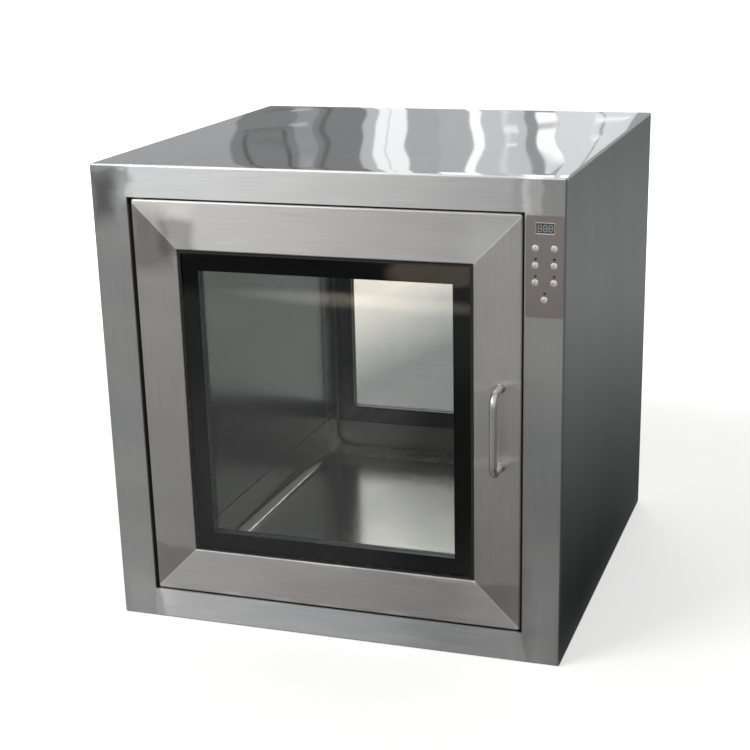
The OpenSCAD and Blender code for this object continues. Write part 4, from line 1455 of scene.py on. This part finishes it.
@dataclass
class Studio:
    """The floor, the lamps, the surroundings that metal reflects, and the camera.

    Attributes:
        floor_reach: Half the width of the floor.
        room_tone: The colour of the room that polished steel reflects.
        eye: Where the camera stands.
        pan: The camera's turn from +Y, towards +X, in degrees.
        tilt: Its tilt above the horizon, in degrees.
        roll: Its roll in degrees.
        lens: Focal length in millimetres on a sensor 36 mm wide.
        shift: Lens shift across and up, as shares of the picture's width.
        white_reach: How far from the middle the floor starts to whiten, and where it is all white.
        white_glow: Its own glow to the camera at those distances.
        open_tone: Tone of the floor that metal mirrors, near the part and 3 m off.
        dusk_tone: Tone of the painted shadow on the floor to the right of the part, beside it and 1.8 m off.
        hall_glow: Glow of the floor behind, seen past the doors, near and far.
        aisle_glow: Glow of the floor in front, seen past the doors.
        sky_glow: Glow of the hall behind, seen past the doors, at its left and its right.
        sky_bearings: Between which compass angles that changes, in degrees.
        rear_glow: Glow of the room in front, seen past the doors.
        ceiling_glow: Glow of the ceiling that metal mirrors.
        soft_glow: Strength of the grey light on everything.
        tints: Colours of the hall's floor, near and far.
    """

    floor_reach: float = 14.0
    room_tone: str = "#aeb1b6"
    eye: Point = (0.65656, -2.00383, 0.89841)
    pan: float = -18.736
    tilt: float = -18.895
    roll: float = -1.323
    lens: float = 74.43
    shift: tuple[float, float] = (-0.01215, 0.08519)
    white_reach: tuple[float, float] = (0.8, 2.6)
    white_glow: tuple[float, float] = (0.45, 1.0)
    open_tone: tuple[float, float] = (0.50, 0.62)
    dusk_tone: tuple[float, float] = (0.04, 0.60)
    hall_glow: tuple[float, float] = (0.52, 1.66)
    aisle_glow: float = 0.13
    sky_glow: tuple[float, float] = (1.38, 0.38)
    sky_bearings: tuple[float, float] = (-19.5, -16.3)
    rear_glow: float = 0.22
    ceiling_glow: float = 0.95
    soft_glow: float = 0.45
    tints: tuple[str, str] = ("#f0f6f6", "#fff9ef")

    def build(self) -> None:
        """Sets up the whole studio."""
        scene = bpy.context.scene
        scene.view_settings.view_transform = "Standard"
        self.camera()
        self.floor()
        self.surroundings()
        for lamp in (
            Softbox("key_softbox", (-1.9, -2.3, 3.0), (0.0, 0.0, 0.3), 1.8, 70.0),
            Softbox("fill_softbox", (1.6, -3.2, 1.8), (0.0, 0.0, 0.3), 2.2, 18.0),
            Softbox("back_softbox", (-0.6, 3.2, 2.6), (0.0, 0.0, 0.4), 2.0, 30.0),
        ):
            lamp.hang()

    def camera(self) -> None:
        """Places the camera and frames the part."""
        pan, tilt, roll = (math.radians(v) for v in (self.pan, self.tilt, self.roll))
        ahead = Vector((math.sin(pan) * math.cos(tilt), math.cos(pan) * math.cos(tilt), math.sin(tilt)))
        right = ahead.cross(Vector((0, 0, 1))).normalized()
        above = right.cross(ahead)
        turned_right = right * math.cos(roll) + above * math.sin(roll)
        turned_above = above * math.cos(roll) - right * math.sin(roll)
        data = bpy.data.cameras.new("camera")
        data.lens, data.sensor_width = self.lens, 36.0
        data.shift_x, data.shift_y = self.shift
        made = bpy.data.objects.new("camera", data)
        axes = Matrix((turned_right, turned_above, -ahead)).transposed()
        made.matrix_world = Matrix.Translation(Vector(self.eye)) @ axes.to_4x4()
        bpy.context.scene.collection.objects.link(made)
        bpy.context.scene.camera = made

    @staticmethod
    def past_glass(tree: Tree, path: Node) -> Node:
        """Returns 1 for a ray that has passed the doors' glass and 0 for any other."""
        crossed = add_node(
            tree, "Math", {"operation": "GREATER_THAN"},
            {0: path.outputs["Transparent Depth"], 1: 0.5},
        )
        bent = {0: crossed, 1: path.outputs["Is Transmission Ray"]}
        return add_node(tree, "Math", MAXIMUM, bent)

    def floor(self) -> None:
        """Lays the floor."""
        corners = [(x * self.floor_reach, y * self.floor_reach, 0) for x, y in SQUARE]
        mesh = bpy.data.meshes.new("floor")
        mesh.from_pydata(corners, [], [(0, 1, 2, 3)])
        floor = bpy.data.objects.new("floor", mesh)
        bpy.context.scene.collection.objects.link(floor)
        paper = bpy.data.materials.new("floor paper, matt")
        paper.use_nodes = True
        paper.node_tree.nodes.clear()
        self.paper(paper.node_tree)
        mesh.materials.append(paper)

    def paper(self, tree: Tree) -> None:
        """Makes the floor white to the camera, and another, darker floor to the metal and the glass.

        Args:
            tree: The floor material's nodes.
        """
        path = add_node(tree, "LightPath")
        matt = add_node(tree, "BsdfDiffuse", links={"Color": linear("#e2e2e0")})
        place = add_node(tree, "TexCoord").outputs["Object"]
        away = add_node(tree, "VectorMath", LENGTH, {0: place}).outputs["Value"]
        white = add_node(tree, "MapRange", links=over(away, *self.white_reach, *self.white_glow))
        lift = add_node(tree, "Emission", links={"Color": WHITE, "Strength": white})
        seen = add_node(tree, "AddShader", links={0: matt, 1: lift})
        mirrored = self.mirrored_floor(tree, place, away)
        passed = self.floor_past_glass(tree, place)
        inner = add_node(tree, "MixShader", links={0: self.past_glass(tree, path), 1: mirrored, 2: passed})
        shown = add_node(tree, "MixShader", links={0: path.outputs["Is Camera Ray"], 1: inner, 2: seen})
        add_node(tree, "OutputMaterial", links={"Surface": shown})

    def mirrored_floor(self, tree: Tree, place: Socket, away: Socket) -> Node:
        """Makes the floor that metal and glass mirror: grey, with painted pools of light and shade, and a
        painted shadow beside the right side.

        Args:
            tree: The floor material's nodes.
            place: Where on the floor, in metres.
            away: How far that is from the middle.

        Returns:
            The shader.
        """
        pool: object = add_node(tree, "MapRange", links=over(away, 0.4, 3.0, *self.open_tone))
        for patch in POOLS:
            spot = {
                0: place,
                "Location": (patch.x, patch.y, 0.0),
                "Rotation": (0.0, 0.0, math.radians(patch.turn)),
                "Scale": (patch.wide, patch.deep, 1.0),
            }
            held = add_node(tree, "Mapping", {"vector_type": "TEXTURE"}, spot)
            off = add_node(tree, "VectorMath", LENGTH, {0: held}).outputs["Value"]
            edge = over(off, 1.0 - patch.blur, 1.0 + patch.blur, 1.0, 0.0)
            share = add_node(tree, "MapRange", SMOOTH, edge)
            pool = add_node(tree, "Mix", RGBA, {0: share, 6: pool, 7: patch.colour()}).outputs[2]
        # Painted shadow: the floor to the right of the part is darkened, darkest beside it, for the right
        # side to mirror.
        beside = add_node(tree, "VectorMath", {"operation": "DISTANCE"}, {0: place, 1: (0.35, -0.1, 0.0)})
        dusk = add_node(tree, "MapRange", links=over(beside.outputs["Value"], 0.0, 1.8, *self.dusk_tone))
        across = add_node(tree, "SeparateXYZ", links={0: place}).outputs[0]
        right = add_node(tree, "MapRange", links=over(across, 0.26, 0.34))
        tone = add_node(tree, "Mix", RGBA, {0: right, 6: pool, 7: dusk}).outputs[2]
        return add_node(tree, "BsdfDiffuse", links={"Color": tone})

    def floor_past_glass(self, tree: Tree, place: Socket) -> Node:
        """Makes the floor that is seen through the doors: dim in front, bright and warm far behind.

        Args:
            tree: The floor material's nodes.
            place: Where on the floor, in metres.

        Returns:
            The shader.
        """
        deep = add_node(tree, "SeparateXYZ", links={0: place}).outputs[1]
        behind = add_node(tree, "MapRange", links=over(deep, 0.28, 0.32))
        slant = {0: place, 1: (-2.0, 0.45, 0.0)}
        reach = add_node(tree, "VectorMath", {"operation": "DOT_PRODUCT"}, slant).outputs["Value"]
        beyond = add_node(tree, "MapRange", links=over(reach, 1.0, 1.8))
        rising = add_node(tree, "Mix", links={0: beyond, 2: self.hall_glow[0], 3: self.hall_glow[1]})
        near, far = (linear(tint) for tint in self.tints)
        warm = add_node(tree, "Mix", RGBA, {0: beyond, 6: near, 7: far}).outputs[2]
        glow = add_node(tree, "Mix", links={0: behind, 2: self.aisle_glow, 3: rising})
        return add_node(tree, "Emission", links={"Color": warm, "Strength": glow})

    def surroundings(self) -> None:
        """Builds the world: white to the camera, soft grey light, and a room with windows for metal."""
        world = bpy.data.worlds.new("studio")
        bpy.context.scene.world = world
        world.use_nodes = True
        tree = world.node_tree
        tree.nodes.clear()
        way = add_node(tree, "TexCoord").outputs["Generated"]
        axes = add_node(tree, "SeparateXYZ", links={0: way})
        angle = add_node(tree, "Math", {"operation": "ARCTAN2"}, {0: axes.outputs[0], 1: axes.outputs[1]})
        bearing = add_node(tree, "Math", DEGREES, {0: angle})
        path = add_node(tree, "LightPath")
        soft = add_node(tree, "Background", links={"Color": WHITE, "Strength": self.soft_glow})
        white = add_node(tree, "Background", links={"Color": WHITE, "Strength": 1.0})
        room = {"Color": (0.985, 0.99, 1.0, 1.0), "Strength": self.room(tree, bearing, axes.outputs[2])}
        mirrored = add_node(tree, "Background", links=room)
        lit = add_node(tree, "MixShader", links={0: path.outputs["Is Glossy Ray"], 1: soft, 2: mirrored})
        sky = add_node(tree, "MapRange", links=over(bearing, *self.sky_bearings, *self.sky_glow))
        back = add_node(tree, "MapRange", links=over(axes.outputs[1], -0.05, 0.05))
        ends = add_node(tree, "Mix", links={0: back, 2: self.rear_glow, 3: sky})
        through = add_node(tree, "Background", links={"Color": WHITE, "Strength": ends})
        mixed = add_node(tree, "MixShader", links={0: self.past_glass(tree, path), 1: lit, 2: through})
        shown = add_node(tree, "MixShader", links={0: path.outputs["Is Camera Ray"], 1: mixed, 2: white})
        add_node(tree, "OutputWorld", links={"Surface": shown})

    def room(self, tree: Tree, bearing: Node, height: Socket) -> Node:
        """Makes the room that metal mirrors: its windows, and a bright ceiling over them.

        Args:
            tree: The world's nodes.
            bearing: The compass angle that is looked along, in degrees.
            height: The sine of the angle above the horizon.

        Returns:
            A node that gives the room's brightness.
        """
        lift = add_node(tree, "Math", {"operation": "ARCSINE"}, {0: height})
        rise = add_node(tree, "Math", DEGREES, {0: lift})
        glow: object = linear(self.room_tone)[0]
        for window in WINDOWS:
            size = distance(tree, bearing, window.bearing)
            near, far = window.half_width - window.blur, window.half_width + window.blur
            share = add_node(tree, "MapRange", SMOOTH, over(size, near, far, 1.0, 0.0))
            if window.low > -90.0 or window.high < 90.0:
                middle, half = (window.low + window.high) / 2, (window.high - window.low) / 2
                ends = over(distance(tree, rise, middle), half, half + 0.05, 1.0, 0.0)
                reach = add_node(tree, "MapRange", links=ends)
                share = add_node(tree, "Math", MULTIPLY, {0: share, 1: reach})
            glow = add_node(tree, "Mix", links={0: share, 2: glow, 3: window.glow})
        above = add_node(tree, "MapRange", SMOOTH, over(height, 0.20, 0.45))
        return add_node(tree, "Mix", links={0: above, 2: glow, 3: self.ceiling_glow})


def main() -> None:
    """Loads the frame, dresses every sub-assembly in order and sets up the studio."""
    logging.basicConfig(level=logging.INFO, format="%(name)s: %(message)s")
    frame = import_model()
    low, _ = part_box("front_frame")
    faces = {side: Face(side, -low.y) for side in Side}
    Casing().build(frame)
    Chamber().build(frame)
    Lamps().build(frame)
    Services().build(frame)
    KeyPanel(faces[Side.FRONT]).build(frame)
    for side in Side:
        Door(faces[side], LEAF_LIGHT_PATCHES if side is Side.FRONT else ()).build(frame)
    Studio().build()


if __name__ == "__main__":
    main()
